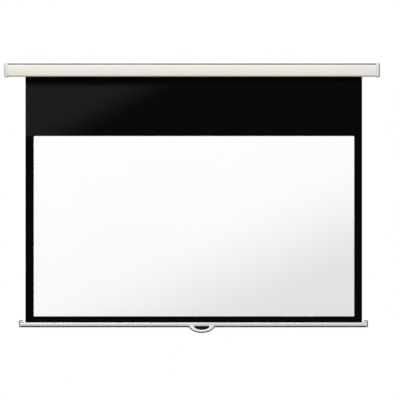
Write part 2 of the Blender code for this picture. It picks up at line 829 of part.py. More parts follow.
def make_pawls(roller_axis):
    """Two pawls half a turn apart, on pins in the housing."""
    hole = circle(PAWL_HOLE, SMALL_STEPS)
    mesh = smooth(outline_mesh([pawl_outline(), hole], PAWL_X[1] - PAWL_X[0]))
    pin = smooth(turned_mesh(PAWL_PIN_PROFILE, SMALL_STEPS))
    middle = Matrix.Translation((sum(PAWL_X) / 2, 0, 0))
    for letter, half_turns in (("a", 0), ("b", 1)):
        spin = Matrix.Rotation(math.pi * half_turns, 4, "X")
        to_pin = Matrix.Translation((0, 0, PAWL_PIN_OFFSET))
        at_pin = Matrix.Translation((0, ROLLER_Y, 0)) @ spin @ to_pin
        axis = empty(f"pawl_{letter}_axis", (middle @ at_pin).translation)
        pawl = place(f"pawl_{letter}", mesh, PLATED_STEEL, middle @ at_pin @ ALONG_X)
        hang(pawl, axis)
        hang(axis, roller_axis)
        hang(place(f"pawl_pin_{letter}", pin, PLATED_STEEL, at_pin @ ALONG_X), roller_axis)


def make_housing():
    """The roller's left plug: a cup for the ratchet, with a bore that turns on the spindle."""
    housing = turned("ratchet_housing", HOUSING_PROFILE, DARK_PLASTIC, ring=True)
    mouth, end = -1.136, -1.127
    for z in (PAWL_PIN_OFFSET, -PAWL_PIN_OFFSET):
        drill(housing, PAWL_HOLE, (mouth, ROLLER_Y, z), (end, ROLLER_Y, z))
    return housing


def spring_points():
    """A helix from the arbor's end to the anchor plug, with a straight end on each side."""
    count = SPRING_TURNS * SPRING_POINTS
    start, end = SPRING_X
    made = []
    for i in range(count + 1):
        angle = 2 * math.pi * i / SPRING_POINTS
        x = start + (end - start) * i / count
        y = ROLLER_Y + SPRING_RADIUS * math.cos(angle)
        made.append(Vector((x, y, SPRING_RADIUS * math.sin(angle))))
    return [*made, made[-1] + Vector((SPRING_TAIL, 0, 0))]


def print_least_gap(name, points, thickness, apart):
    """Prints the least clear distance between points that are at least apart steps along the line."""
    least = min(
        (points[i] - points[j]).length
        for i in range(len(points))
        for j in range(i + apart, min(len(points), i + 4 * apart))
    )
    print(f"{name}: least gap to itself {1000 * (least - thickness):.2f} mm")


def make_spring():
    points = spring_points()
    curve = bpy.data.curves.new("torsion_spring", "CURVE")
    curve.dimensions = "3D"
    curve.bevel_depth = SPRING_WIRE
    curve.bevel_resolution = 1
    curve.use_fill_caps = True
    spline = curve.splines.new("POLY")
    spline.points.add(len(points) - 1)
    for point, at in zip(spline.points, points, strict=True):
        point.co = (*at, 1)
    holder = bpy.data.objects.new("coil", curve)
    CUTTERS.objects.link(holder)
    place("torsion_spring", smooth(mesh_and_remove(holder)), SPRING_STEEL)
    print_least_gap("torsion_spring", points, 2 * SPRING_WIRE, SPRING_POINTS // 2)


def make_arbor():
    """The fixed rod inside the spring, with a socket for the spindle's end."""
    turned("spring_arbor", ARBOR_PROFILE, PLATED_STEEL)


def make_roller(roller_axis):
    made = [
        turned("roller_tube", TUBE_PROFILE, TUBE_STEEL, ring=True),
        turned("spring_anchor_plug", ANCHOR_PROFILE, DARK_PLASTIC, ring=True),
        turned("idle_plug", IDLE_PLUG_PROFILE, DARK_PLASTIC, ring=True),
        turned("idle_bush", IDLE_BUSH_PROFILE, NATURAL_NYLON, ring=True),
        make_housing(),
        make_fabric_roll(),
    ]
    for obj in made:
        hang(obj, roller_axis)


def make_idle_pin():
    turned("idle_pin", IDLE_PIN_PROFILE, PLATED_STEEL)


def wrap_points(offset, steps=24):
    """The wound cloth in the YZ plane, offset from its middle, up to where it leaves the roller."""
    count = WRAP_TURNS * steps
    made = []
    for i in range(count + 1):
        angle = 2 * math.pi * (i - count) / steps
        radius = WRAP_START_RADIUS + WRAP_PITCH * i / steps + offset
        made.append((ROLLER_Y + radius * math.cos(angle), radius * math.sin(angle)))
    return made


def make_fabric_roll():
    """The turns that stay on the roller when the screen is down. The cloth leaves at the back."""
    steps = 24
    half = CLOTH_THICKNESS / 2
    outer, inner = wrap_points(half, steps), wrap_points(-half, steps)
    middle = [Vector(p) for p in wrap_points(0, steps)]
    print_least_gap("fabric_roll", middle, CLOTH_THICKNESS, steps // 2)
    # The wound end stops just above the hanging cloth's top edge, level with the axis.
    backwards = [(y, -z) for y, z in outer + inner[::-1]]
    return extruded_x("fabric_roll", [backwards], CLOTH_LEFT, CLOTH_RIGHT, BLACK_CLOTH)


def make_cloth():
    half = CLOTH_THICKNESS / 2
    low = (CLOTH_LEFT, CLOTH_Y - half, HEM_TOP + GAP)
    high = (CLOTH_RIGHT, CLOTH_Y + half, -2 * GAP)
    place("screen_cloth", box_mesh(low, high), BLACK_CLOTH)
    left = PICTURE_CENTRE_X - PICTURE_WIDTH / 2
    right = PICTURE_CENTRE_X + PICTURE_WIDTH / 2
    bottom = PICTURE_TOP - PICTURE_HEIGHT
    corners = [(left, bottom), (right, bottom), (right, PICTURE_TOP), (left, PICTURE_TOP)]
    outline = rounded([(*c, PICTURE_CORNER) for c in corners])
    front = CLOTH_Y - half - GAP
    extruded_y("viewing_surface", [outline], front - GAP, front, MATT_WHITE)


def make_hem(slat_axis):
    """The cloth's hem: a strip that ends in a pocket round the rod."""
    rod_z = SLAT_TOP - ROD_DEPTH
    start = math.degrees(math.asin(HEM_HALF / HEM_RADIUS))
    outline = [
        (CLOTH_Y - HEM_HALF, HEM_TOP),
        *arc((CLOTH_Y, rod_z), HEM_RADIUS, 90 + start, 450 - start, 20),
        (CLOTH_Y + HEM_HALF, HEM_TOP),
    ]
    pocket = circle(HEM_BORE, 16, CLOTH_Y, rod_z)
    hem = extruded_x("hem_pocket", [outline, pocket], CLOTH_LEFT, CLOTH_RIGHT, BLACK_CLOTH)
    start = (CLOTH_LEFT + ROD_SHORTER, CLOTH_Y, rod_z)
    end = (CLOTH_RIGHT - ROD_SHORTER, CLOTH_Y, rod_z)
    mesh = smooth(rod_mesh(ROD_RADIUS, end[0] - start[0], SMALL_STEPS))
    rod = place("hem_rod", mesh, PLATED_STEEL, between(start, end))
    for obj in (hem, rod):
        hang(obj, slat_axis)


def slat_section():
    """A rounded bar with a keyhole groove in its top and an undercut channel below."""
    rod_z = SLAT_TOP - ROD_DEPTH
    lean = math.degrees(math.asin(GROOVE_HALF_MOUTH / GROOVE_RADIUS))
    front, back = CLOTH_Y - SLAT_HALF_DEPTH, CLOTH_Y + SLAT_HALF_DEPTH
    groove = arc((CLOTH_Y, rod_z), GROOVE_RADIUS, 90 + lean, 450 - lean, 18)
    return [
        *groove,
        (CLOTH_Y + GROOVE_HALF_MOUTH, SLAT_TOP),
        *arc((back - SLAT_HEEL, SLAT_TOP - SLAT_HEEL), SLAT_HEEL, 90, 0, 4),
        (back, SLAT_UNDERSIDE),
        (CLOTH_Y + CHANNEL_HALF_MOUTH, SLAT_UNDERSIDE),
        (CLOTH_Y + CHANNEL_HALF_MOUTH, CHANNEL_SHOULDER),
        (CLOTH_Y + CHANNEL_HALF, CHANNEL_SHOULDER),
        (CLOTH_Y + CHANNEL_HALF, CHANNEL_TOP),
        (CLOTH_Y - CHANNEL_HALF, CHANNEL_TOP),
        (CLOTH_Y - CHANNEL_HALF, CHANNEL_SHOULDER),
        (CLOTH_Y - CHANNEL_HALF_MOUTH, CHANNEL_SHOULDER),
        (CLOTH_Y - CHANNEL_HALF_MOUTH, SLAT_UNDERSIDE),
        (front, SLAT_UNDERSIDE),
        *arc((front + SLAT_CROWN, SLAT_TOP - SLAT_CROWN), SLAT_CROWN, 180, 90, 7),
        (CLOTH_Y - GROOVE_HALF_MOUTH, SLAT_TOP),
    ]


def lug_section(bottom, half_bottom):
    """A tee that slides in the slat's channel, on a foot that reaches down to bottom."""
    neck, head = CHANNEL_HALF_MOUTH - GAP, CHANNEL_HALF - GAP
    shoulder = CHANNEL_SHOULDER + GAP
    top = shoulder + TEE_HEIGHT
    foot = SLAT_UNDERSIDE - GAP
    left, right = CLOTH_Y - half_bottom + TRIM_CHAMFER, CLOTH_Y + half_bottom - TRIM_CHAMFER
    return [
        (CLOTH_Y + half_bottom, foot),
        (CLOTH_Y + neck, foot),
        (CLOTH_Y + neck, shoulder),
        (CLOTH_Y + head, shoulder),
        (CLOTH_Y + head, top),
        (CLOTH_Y - head, top),
        (CLOTH_Y - head, shoulder),
        (CLOTH_Y - neck, shoulder),
        (CLOTH_Y - neck, foot),
        (CLOTH_Y - half_bottom, foot),
        *arc((left, bottom + TRIM_CHAMFER), TRIM_CHAMFER, 180, 270, 3),
        *arc((right, bottom + TRIM_CHAMFER), TRIM_CHAMFER, 270, 360, 3),
    ]


def slat_end_outlines():
    """The end moulding with its horn, and the rubber bumper round it, as (inward, up)."""
    inner = BUMPER_THICKNESS + GAP
    horn = HORN_TOP - BUMPER_THICKNESS + GAP
    end = inner + END_THICKNESS
    moulding = [
        (inner, SLAT_BOTTOM),
        (end, SLAT_BOTTOM),
        (end, SLAT_TOP + GAP),
        (HORN_LENGTH + HORN_SLOPE, SLAT_TOP + GAP),
        (HORN_LENGTH, horn - GAP),
        (inner, horn - GAP),
    ]
    bumper = rounded([
        (0, SLAT_BOTTOM, 0.001),
        (BUMPER_THICKNESS, SLAT_BOTTOM, 0),
        (BUMPER_THICKNESS, horn, 0),
        (HORN_LENGTH, horn, 0),
        (HORN_LENGTH - 0.001, HORN_TOP, 0.001),
        (0, HORN_TOP, 0.003),
    ])
    return moulding, bumper


def make_slat_end(side, outer_x, inward, end_screw, slat_axis):
    """A moulding that closes the bar's end, a bumper round it, and the screw through both."""
    low, high = CLOTH_Y - SLAT_HALF_DEPTH, CLOTH_Y + SLAT_HALF_DEPTH
    moulding, bumper = (
        [(outer_x + inward * across, up) for across, up in outline]
        for outline in slat_end_outlines()
    )
    end = extruded_y(side + "_slat_end", [moulding], low, high, MOULDED_WHITE, END_EDGE)
    pad = extruded_y(side + "_slat_bumper", [bumper], low, high, RUBBER, END_EDGE)
    outside = (outer_x - inward * 0.001, CLOTH_Y, END_SCREW_Z)
    inside = (outer_x + inward * 0.010, CLOTH_Y, END_SCREW_Z)
    drill(end, END_SCREW_HOLE, outside, inside)
    drill(pad, END_HEAD_HOLE, outside, inside)
    seat = (outer_x + inward * BUMPER_THICKNESS, CLOTH_Y, END_SCREW_Z)
    screw = screw_at(side + "_slat_end_screw", end_screw, seat, (-inward, 0, 0))
    for obj in (end, pad, screw):
        hang(obj, slat_axis)


def mitre(mesh, end, middle):
    """Slants the end of a trim, above or below local Z = 0, so that it follows the side of the cup."""
    low, high = SLAT_BOTTOM, SLAT_UNDERSIDE - GAP
    across, centre, down = bowl(HANDLE_HALF_WIDTH, high, HANDLE_BOTTOM, HANDLE_RISE)
    reaches = [(across + GAP) * math.sqrt(1 - ((centre - z) / (down + GAP)) ** 2) for z in (low, high)]
    slope = (reaches[1] - reaches[0]) / (high - low)
    for vertex in mesh.vertices:
        if end * vertex.co.z > 0:
            reach = reaches[0] + slope * (vertex.co.y - low)
            vertex.co.z = HANDLE_X - end * reach - middle


def make_slat(slat_axis):
    inset_end = BUMPER_THICKNESS + END_THICKNESS + 2 * GAP
    low, high = SLAT_LEFT + inset_end, SLAT_RIGHT - inset_end
    bar = extruded_x("slat_bar", [slat_section()], low, high, SATIN_SLAT)
    channel_y, behind_y = CLOTH_Y + CHANNEL_HALF_MOUTH, CLOTH_Y + SLAT_HALF_DEPTH + 0.002
    for x in handle_screw_places():
        start = (x, channel_y, HANDLE_SCREW_Z)
        drill(bar, HANDLE_SCREW_HOLE, start, (x, behind_y, HANDLE_SCREW_Z))
    smooth(bar.data)
    strip = lug_section(SLAT_BOTTOM, SLAT_HALF_DEPTH)
    left_end, right_start = HANDLE_X - HANDLE_HALF_WIDTH, HANDLE_X + HANDLE_HALF_WIDTH
    trims = [
        extruded_x("left_slat_trim", [strip], low, left_end, DARK_PLASTIC),
        extruded_x("right_slat_trim", [strip], right_start, high, DARK_PLASTIC),
    ]
    mitre(trims[0].data, 1, (low + left_end) / 2)
    mitre(trims[1].data, -1, (right_start + high) / 2)
    for obj in (bar, *trims):
        hang(obj, slat_axis)


def handle_screw_places():
    return (HANDLE_X - HANDLE_SCREW_OFFSET, HANDLE_X + HANDLE_SCREW_OFFSET)


def bowl(half_width, top, bottom, rise):
    """(half width, height of the centre, depth) of the ellipse below a chord, centred a rise above it."""
    down = top + rise - bottom
    return half_width / math.sqrt(1 - (rise / down) ** 2), top + rise, down


def dish(half_width, top, bottom, steps, rise=0.0, shrink=0.0):
    """The part of an ellipse below a chord, about the handle's middle, from its right end to its left."""
    across, centre, down = bowl(half_width, top, bottom, rise)
    across, down = across - shrink, down - shrink
    lean = math.asin(rise / down)
    turns = [-lean - (math.pi - 2 * lean) * i / steps for i in range(steps + 1)]
    return [(HANDLE_X + across * math.cos(a), centre + down * math.sin(a)) for a in turns]


def make_handle(end_screw, slat_axis):
    """A light crescent bonded over a dark cup, for pulling down with four fingers."""
    top = SLAT_UNDERSIDE - 2 * GAP
    grip = dish(GRIP_HALF_WIDTH, GRIP_TOP, GRIP_BOTTOM, 20)
    rim = dish(HANDLE_HALF_WIDTH, top, HANDLE_BOTTOM, 24, HANDLE_RISE, HANDLE_RIM)
    ear_inner, ear_outer = GRIP_HALF_WIDTH + EAR_INSET, rim[0][0] - HANDLE_X - EAR_OUTSET
    inner_radius, outer_radius = EAR_RADII
    crescent = rounded([
        (HANDLE_X - ear_inner, EAR_TOP, inner_radius),
        *[(*point, 0) for point in grip[::-1]],
        (HANDLE_X + ear_inner, EAR_TOP, inner_radius),
        (HANDLE_X + ear_outer, EAR_TOP, outer_radius),
        *[(*point, 0) for point in rim],
        (HANDLE_X - ear_outer, EAR_TOP, outer_radius),
    ])
    handle = extruded_y("handle", [crescent], HANDLE_FRONT, HANDLE_BACK, MOULDED_WHITE, HANDLE_EDGE)
    smooth(handle.data)
    hang(handle, slat_axis)
    make_handle_cup(end_screw, slat_axis)


def make_handle_cup(end_screw, slat_axis):
    """The cup behind the crescent, its tee in the slat's channel, and its flange with two screws."""
    top = SLAT_UNDERSIDE - 2 * GAP
    body = dish(HANDLE_HALF_WIDTH - GAP, top, HANDLE_BOTTOM, 24, HANDLE_RISE)
    cup = extruded_y("handle_cup", [body], CUP_FRONT, CUP_BACK, DARK_PLASTIC, CUP_EDGE)
    half = HANDLE_SCREW_OFFSET + FLANGE_MARGIN
    flange_front = CLOTH_Y + SLAT_HALF_DEPTH + GAP
    flange = rounded([
        (HANDLE_X - half, SLAT_BOTTOM, 0),
        (HANDLE_X + half, SLAT_BOTTOM, 0),
        (HANDLE_X + half, FLANGE_TOP, FLANGE_CORNER),
        (HANDLE_X - half, FLANGE_TOP, FLANGE_CORNER),
    ])
    flange_middle = Matrix.Translation((0, (flange_front + CUP_BACK) / 2, 0))
    add(cup, outline_mesh([flange], CUP_BACK - flange_front), flange_middle @ ALONG_Y)
    shoulder = CHANNEL_SHOULDER + GAP
    neck = (CHANNEL_HALF_MOUTH - GAP, top - 0.001, shoulder + 0.001)
    head = (CHANNEL_HALF - GAP, shoulder, shoulder + TEE_HEIGHT)
    for half_depth, low, high in (neck, head):
        low_corner = (HANDLE_X - LUG_HALF_LENGTH, CLOTH_Y - half_depth, low)
        high_corner = (HANDLE_X + LUG_HALF_LENGTH, CLOTH_Y + half_depth, high)
        add(cup, box_mesh(low_corner, high_corner))
    recess = dish(GRIP_HALF_WIDTH, GRIP_TOP - 0.002, GRIP_BOTTOM, 20)
    middle = Matrix.Translation((0, (CUP_FLOOR + HANDLE_FRONT) / 2, 0))
    cut(cup, outline_mesh([recess], CUP_FLOOR - HANDLE_FRONT), middle @ ALONG_Y)
    for side, x in zip(("left", "right"), handle_screw_places(), strict=True):
        start = (x, flange_front - 0.001, HANDLE_SCREW_Z)
        drill(cup, HANDLE_SCREW_HOLE, start, (x, CUP_BACK + 0.001, HANDLE_SCREW_Z))
        seat = (x, CUP_BACK + GAP, HANDLE_SCREW_Z)
        hang(screw_at(side + "_handle_screw", end_screw, seat, (0, 1, 0)), slat_axis)
    smooth(cup.data)
    hang(cup, slat_axis)


def empty(name, at):
    """A joint's axis: what moves on it hangs from it."""
    axis = bpy.data.objects.new(name, None)
    axis.location = at
    PARTS.objects.link(axis)
    bpy.context.view_layer.update()
    return axis


def hang(obj, parent):
    """Parents obj without moving it."""
    bpy.context.view_layer.update()
    world = obj.matrix_world.copy()
    obj.parent = parent
    obj.matrix_parent_inverse = parent.matrix_world.inverted()
    obj.matrix_world = world


def main():
    slat_axis = empty("screen_travel_axis", (0, CLOTH_Y, SLAT_TOP))
    roller_axis = empty("roller_spin_axis", (0, ROLLER_Y, 0))
    make_case()
    make_rail()
    plate_screw = screw_mesh(0.0036, 0.0022, 0.0016, 0.012, recess=False)
    cap_screw = screw_mesh(0.0039, 0.0024, 0.0018, 0.0215)
    end_screw = screw_mesh(0.0033, 0.0020, 0.0016, 0.0100)
    for side, sign in (("left", -1), ("right", 1)):
        make_cap(side, sign)
        make_plate(side, sign)
        make_end_screws(side, sign, plate_screw, cap_screw)
        make_bracket(side, BRACKET_PLACES[side])
    make_spindle()
    make_arbor()
    make_spring()
    make_idle_pin()
    make_roller(roller_axis)
    make_pawls(roller_axis)
    make_cloth()
    make_hem(slat_axis)
    make_slat(slat_axis)
    make_slat_end("left", SLAT_LEFT, 1, end_screw, slat_axis)
    make_slat_end("right", SLAT_RIGHT, -1, end_screw, slat_axis)
    make_handle(end_screw, slat_axis)
    bpy.context.view_layer.update()


main()
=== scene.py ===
"""Looks of a manual pull-down projector screen: finishes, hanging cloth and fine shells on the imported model.

Metres, in the model's frame: +X runs to the right along the case, +Y towards the wall, +Z up.
"""

import json
import math

import bmesh
import bpy
from mathutils import Matrix, Vector

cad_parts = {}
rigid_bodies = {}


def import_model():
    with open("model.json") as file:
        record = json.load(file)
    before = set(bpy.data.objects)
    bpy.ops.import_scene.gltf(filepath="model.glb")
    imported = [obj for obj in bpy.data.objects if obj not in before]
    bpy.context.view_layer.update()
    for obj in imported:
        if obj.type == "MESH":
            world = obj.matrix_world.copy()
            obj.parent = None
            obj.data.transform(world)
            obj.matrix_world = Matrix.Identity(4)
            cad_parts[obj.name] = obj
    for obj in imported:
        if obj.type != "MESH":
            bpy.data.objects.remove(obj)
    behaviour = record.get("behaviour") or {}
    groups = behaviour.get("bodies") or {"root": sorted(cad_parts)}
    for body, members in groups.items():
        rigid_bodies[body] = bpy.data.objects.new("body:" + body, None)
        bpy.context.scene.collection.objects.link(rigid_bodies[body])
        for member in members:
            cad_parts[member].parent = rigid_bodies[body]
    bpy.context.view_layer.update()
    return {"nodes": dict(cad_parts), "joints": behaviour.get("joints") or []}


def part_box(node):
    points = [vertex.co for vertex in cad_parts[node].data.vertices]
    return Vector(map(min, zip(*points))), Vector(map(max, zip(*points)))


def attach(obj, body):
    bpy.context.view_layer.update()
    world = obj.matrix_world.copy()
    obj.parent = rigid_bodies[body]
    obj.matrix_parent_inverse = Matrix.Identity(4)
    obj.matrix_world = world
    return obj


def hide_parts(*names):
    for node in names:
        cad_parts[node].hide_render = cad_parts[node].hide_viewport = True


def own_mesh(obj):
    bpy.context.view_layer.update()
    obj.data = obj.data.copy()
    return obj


for old in list(bpy.data.objects):
    bpy.data.objects.remove(old, do_unlink=True)

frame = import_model()
NODES = frame["nodes"]

# Boxes of the CAD nodes that soft or finer pieces stand for, or sit on
CLOTH_LOW, CLOTH_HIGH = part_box("screen_cloth")
PICTURE_LOW, PICTURE_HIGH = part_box("viewing_surface")
HEM_LOW, HEM_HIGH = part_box("hem_pocket")
ROLL_LOW, ROLL_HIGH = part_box("fabric_roll")
SLAT_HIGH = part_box("slat_bar")[1]
HANDLE_LOW, HANDLE_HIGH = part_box("handle")
CUP_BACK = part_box("handle_cup")[1].y

# Hanging cloth, and the white coating on its front
CLOTH_THICKNESS = CLOTH_HIGH.y - CLOTH_LOW.y
CLOTH_Y = (CLOTH_HIGH.y + CLOTH_LOW.y) / 2
CLOTH_CELL = 0.016
PICTURE_CORNER = 0.006
CORNER_CELLS = 6
COATING = 0.0003
SKIN_GAP = 0.00002
PICTURE_CLEARANCE = 0.0004

# Its waves, as (share, radians per metre along X and along Z, phase), and the curl of its side edges
RIPPLE = 0.00045
WAVES = ((0.6, 5.1, 1.785, 0.8), (0.4, 9.7, -2.1, 2.0))
EDGE_CURL = 0.0012
EDGE_CURL_WIDTH = 0.16

# Cloth wound on the roller: its edges wander by so much, in a wave of so many radians a step
ROLLER_Y = -0.0435
WRAP_TURNS = 2
WRAP_PITCH = 0.00095
WRAP_STEPS = 72
WRAP_COLUMNS = 60
WRAP_WANDER = 0.0006
WANDER_RATE = 0.11
WANDER_PHASE = 1.0

# Hem: two layers of cloth welded in ribs, and a pocket round the rod in the slat
HEM_HALF = 0.0005
HEM_LAP = 0.0006
HEM_COLUMNS = 40
HEM_RADIUS = 0.0035
HEM_BORE = 0.0028
POCKET_STEPS = 48
ROD_DEPTH = 0.0063
WELD_BAND = (-1.5725, -1.5965)
WELD_RIBS = 12
WELD_RIB_STEPS = 4
WELD_HEIGHT = 0.00012

# Handle: its arcs as (half width, top, bottom, height of the ellipse's centre above the top), ears and face
HANDLE_X = (HANDLE_LOW.x + HANDLE_HIGH.x) / 2
GRIP_ARC = (0.0490, -1.628, -1.6514, 0.0)
RIM_ARC = (0.0855, -1.6276, -1.671, 0.0096)
RIM_SHRINK = 0.0065
ARC_STEPS = 40
EAR_INSET = 0.0015
EAR_OUTSET = 0.0035
EAR_RADII = (0.0020, 0.0035)
FACE_EDGE = 0.0016
FACE_CROWN = 0.0007
FACE_HALF = 0.007
FACE_COLUMNS = (0, 0.02, 0.05, 0.09, 0.13, 0.25, 0.38, 0.5, 0.62, 0.75, 0.87, 0.91, 0.95, 0.98, 1)
FACE_STEP = 0.002
BACK_CHAMFER = 0.0003

# Ribs on the back of the handle's cup, and how far inside its rim their border runs
RIB_HALF = 0.0008
RIB_HEIGHT = 0.0015
RIB_EDGE = 0.0003
RIB_BORDER = 0.0035
RIB_BORDER_STEPS = 48
RIB_TOP = -1.6395
RIB_PLACES = (-0.045, -0.027, -0.009, 0.009, 0.027, 0.045)

# Camera, so far off that its view is nearly parallel. The centre of the view is in x and z
FRAME_WIDTH = 2.5432
VIEW_CENTRE = (0.0509, -0.8259)
CAMERA_DISTANCE = 60.0
SENSOR_MM = 36.0

# Floor: it fades between two shares of its radius. It has one colour for the camera and one for the light
FLOOR_HEIGHT = -2.35
FLOOR_RADIUS = 5.0
FLOOR_SIDES = 96
FLOOR_FADE = (0.55, 0.98)
FLOOR_SEEN = (0.86, 0.86, 0.85)
FLOOR_SEEN_BY_LIGHT = (0.15, 0.15, 0.15)

# Light from all round: its strength from above and from below, the weight of the side, and half its soft span
FILL = 0.44
FILL_BELOW = 0.12
FILL_SIDE = 0.5
HORIZON = 0.6

# Distances at which points are one, in the CAD nodes and in the finer pieces
MERGE = 1e-5
FINE_MERGE = 1e-6

# Edges
FLAT_ANGLE = math.radians(0.3)
SHARP_ANGLE = math.radians(30)
EDGE_RADIUS = 0.00025
EDGE_SEGMENTS = 2
# CAD nodes that keep square edges, because rounding makes their meshes cross themselves
SQUARE_EDGED = ("case", "left_end_plate", "right_end_plate")


# Materials

# Most of what a noise gives lies between these
NOISE_RANGE = (0.3, 0.7)


class Finish:
    """A Principled material whose nodes read the object's own coordinates, in metres."""

    def __init__(self, name, **sockets):
        self.material = bpy.data.materials.new(name)
        self.material.use_nodes = True
        self.nodes = self.material.node_tree.nodes
        self.links = self.material.node_tree.links
        self.shader = self.nodes["Principled BSDF"]
        for socket, value in sockets.items():
            title = socket.replace("_", " ").title().replace("Ior", "IOR")
            self.shader.inputs[title].default_value = value
        self.place = self.nodes.new("ShaderNodeTexCoord").outputs["Object"]

    def add(self, kind, inputs=(), **settings):
        """A node. An input is a value or another node's output."""
        made = self.nodes.new(kind)
        for name, value in settings.items():
            setattr(made, name, value)
        for socket, value in dict(inputs).items():
            if isinstance(value, bpy.types.NodeSocket):
                self.links.new(value, made.inputs[socket])
            else:
                made.inputs[socket].default_value = value
        return made

    def feed(self, socket, value):
        self.links.new(value, self.shader.inputs[socket])

    def stretched(self, x, y, z):
        """Coordinates scaled by axis, for grain that runs one way."""
        return self.add("ShaderNodeMapping", {"Vector": self.place, "Scale": (x, y, z)}).outputs["Vector"]

    def noise(self, scale, detail, at=None):
        inputs = {"Vector": at or self.place, "Scale": scale, "Detail": detail}
        return self.add("ShaderNodeTexNoise", inputs).outputs["Fac"]

    def cells(self, scale, output="Color"):
        return self.add("ShaderNodeTexVoronoi", {"Vector": self.place, "Scale": scale}).outputs[output]

    def ramp(self, value, low, high, out_low=0.0, out_high=1.0, kind="SMOOTHSTEP"):
        """value from low to high becomes out_low to out_high."""
        inputs = {"Value": value, "From Min": low, "From Max": high, "To Min": out_low, "To Max": out_high}
        return self.add("ShaderNodeMapRange", inputs, interpolation_type=kind).outputs["Result"]

    def maths(self, operation, first, second=0.0):
        return self.add("ShaderNodeMath", {0: first, 1: second}, operation=operation).outputs["Value"]

    def mix(self, share, first, second):
        """Colours, from first at share 0 to second at share 1."""
        made = self.add("ShaderNodeMix", data_type="RGBA")
        colours = [s for s in made.inputs if s.type == "RGBA"]
        for socket, value in zip(colours, (first, second), strict=True):
            socket.default_value = (*value, 1.0)
        self.links.new(share, made.inputs["Factor"])
        return [s for s in made.outputs if s.type == "RGBA"][0]

    def colour(self, share, first, second):
        self.feed("Base Color", self.mix(share, first, second))

    def roughness(self, value, low, high):
        self.feed("Roughness", self.ramp(value, *NOISE_RANGE, low, high, "LINEAR"))

    def bump(self, *layers):
        """Layers of (height from 0 to 1, its depth in metres)."""
        normal = None
        for height, depth in layers:
            inputs = {"Height": height, "Distance": depth, "Strength": 1.0}
            if normal is not None:
                inputs["Normal"] = normal
            normal = self.add("ShaderNodeBump", inputs).outputs["Normal"]
        self.feed("Normal", normal)


# Heights between which the case's coat yellows
YELLOWED = (-0.035, 0.010)


def coated_white():
    """Powder coat on aluminium: orange peel, a little yellower in patches and towards its foot."""
    f = Finish("coated_white_finish", specular_ior_level=0.3)
    height = f.add("ShaderNodeSeparateXYZ", {"Vector": f.place}).outputs["Z"]
    patches = f.ramp(f.noise(2.2, 4.0), 0.35, 0.7, 0.0, 0.4)
    share = f.maths("ADD", patches, f.ramp(height, *YELLOWED, 0.6, 0.0))
    f.colour(share, (0.693, 0.671, 0.630), (0.714, 0.687, 0.604))
    f.roughness(f.noise(180.0, 3.0), 0.38, 0.43)
    f.bump((f.noise(620.0, 2.0), 0.00003), (f.noise(2600.0, 2.0), 0.000012))
    return f.material


def moulded_white(name, pale, worn):
    """Moulded plastic with a spark-eroded grain, in two near colours."""
    f = Finish(name, subsurface_weight=0.04, subsurface_scale=0.002)
    f.colour(f.ramp(f.noise(14.0, 3.0), 0.35, 0.7), pale, worn)
    f.roughness(f.noise(90.0, 3.0), 0.40, 0.52)
    f.bump((f.noise(1500.0, 3.0), 0.00003), (f.cells(2100.0, output="Distance"), 0.00002))
    return f.material


def grey_rail():
    """Grey anodised extrusion with die lines along its length."""
    f = Finish("grey_rail_finish", specular_ior_level=0.35)
    lines = f.noise(1.0, 3.0, f.stretched(1.5, 2600.0, 2600.0))
    f.colour(f.ramp(lines, 0.35, 0.65), (0.168, 0.164, 0.158), (0.145, 0.141, 0.136))
    f.roughness(f.noise(1.0, 2.0, f.stretched(3.0, 900.0, 900.0)), 0.34, 0.50)
    f.bump((lines, 0.00002))
    return f.material


def plated_steel():
    """Zinc plate: fine crystals, faintly clouded."""
    f = Finish("plated_steel_finish", metallic=1.0)
    cloud = f.ramp(f.noise(70.0, 4.0), 0.35, 0.7)
    f.colour(f.maths("MULTIPLY", cloud, f.cells(1100.0)), (0.60, 0.60, 0.58), (0.74, 0.74, 0.72))
    f.roughness(f.noise(240.0, 3.0), 0.26, 0.42)
    f.bump((f.cells(1100.0, output="Distance"), 0.000012), (f.noise(3000.0, 2.0), 0.000008))
    return f.material


def tube_steel():
    """Galvanised tube with spangles and rolling lines."""
    f = Finish("tube_steel_finish", metallic=1.0)
    f.colour(f.cells(170.0), (0.42, 0.43, 0.44), (0.60, 0.61, 0.62))
    f.roughness(f.noise(120.0, 3.0), 0.34, 0.52)
    f.bump((f.noise(1.0, 2.0, f.stretched(4.0, 700.0, 700.0)), 0.00002))
    return f.material


def spring_steel():
    """Oil-tempered wire, dark with drawn lines."""
    f = Finish("spring_steel_finish", metallic=0.95)
    f.colour(f.noise(320.0, 4.0), (0.13, 0.13, 0.14), (0.30, 0.28, 0.26))
    f.roughness(f.noise(500.0, 2.0), 0.28, 0.44)
    f.bump((f.noise(2400.0, 2.0), 0.00001))
    return f.material


def dark_plastic():
    """Black moulding with a fine leathery grain."""
    f = Finish("dark_plastic_finish", specular_ior_level=0.08)
    f.colour(f.ramp(f.noise(40.0, 3.0), *NOISE_RANGE), (0.006, 0.006, 0.007), (0.011, 0.011, 0.012))
    f.roughness(f.noise(160.0, 2.0), 0.46, 0.60)
    f.bump((f.cells(1300.0, output="Distance"), 0.00004), (f.noise(3200.0, 2.0), 0.00001))
    return f.material


def natural_nylon():
    """Undyed nylon, slightly translucent."""
    f = Finish("natural_nylon_finish", subsurface_weight=0.25, subsurface_scale=0.004)
    f.colour(f.noise(60.0, 3.0), (0.80, 0.77, 0.68), (0.72, 0.69, 0.60))
    f.roughness(f.noise(200.0, 2.0), 0.36, 0.50)
    f.bump((f.noise(900.0, 2.0), 0.00002))
    return f.material


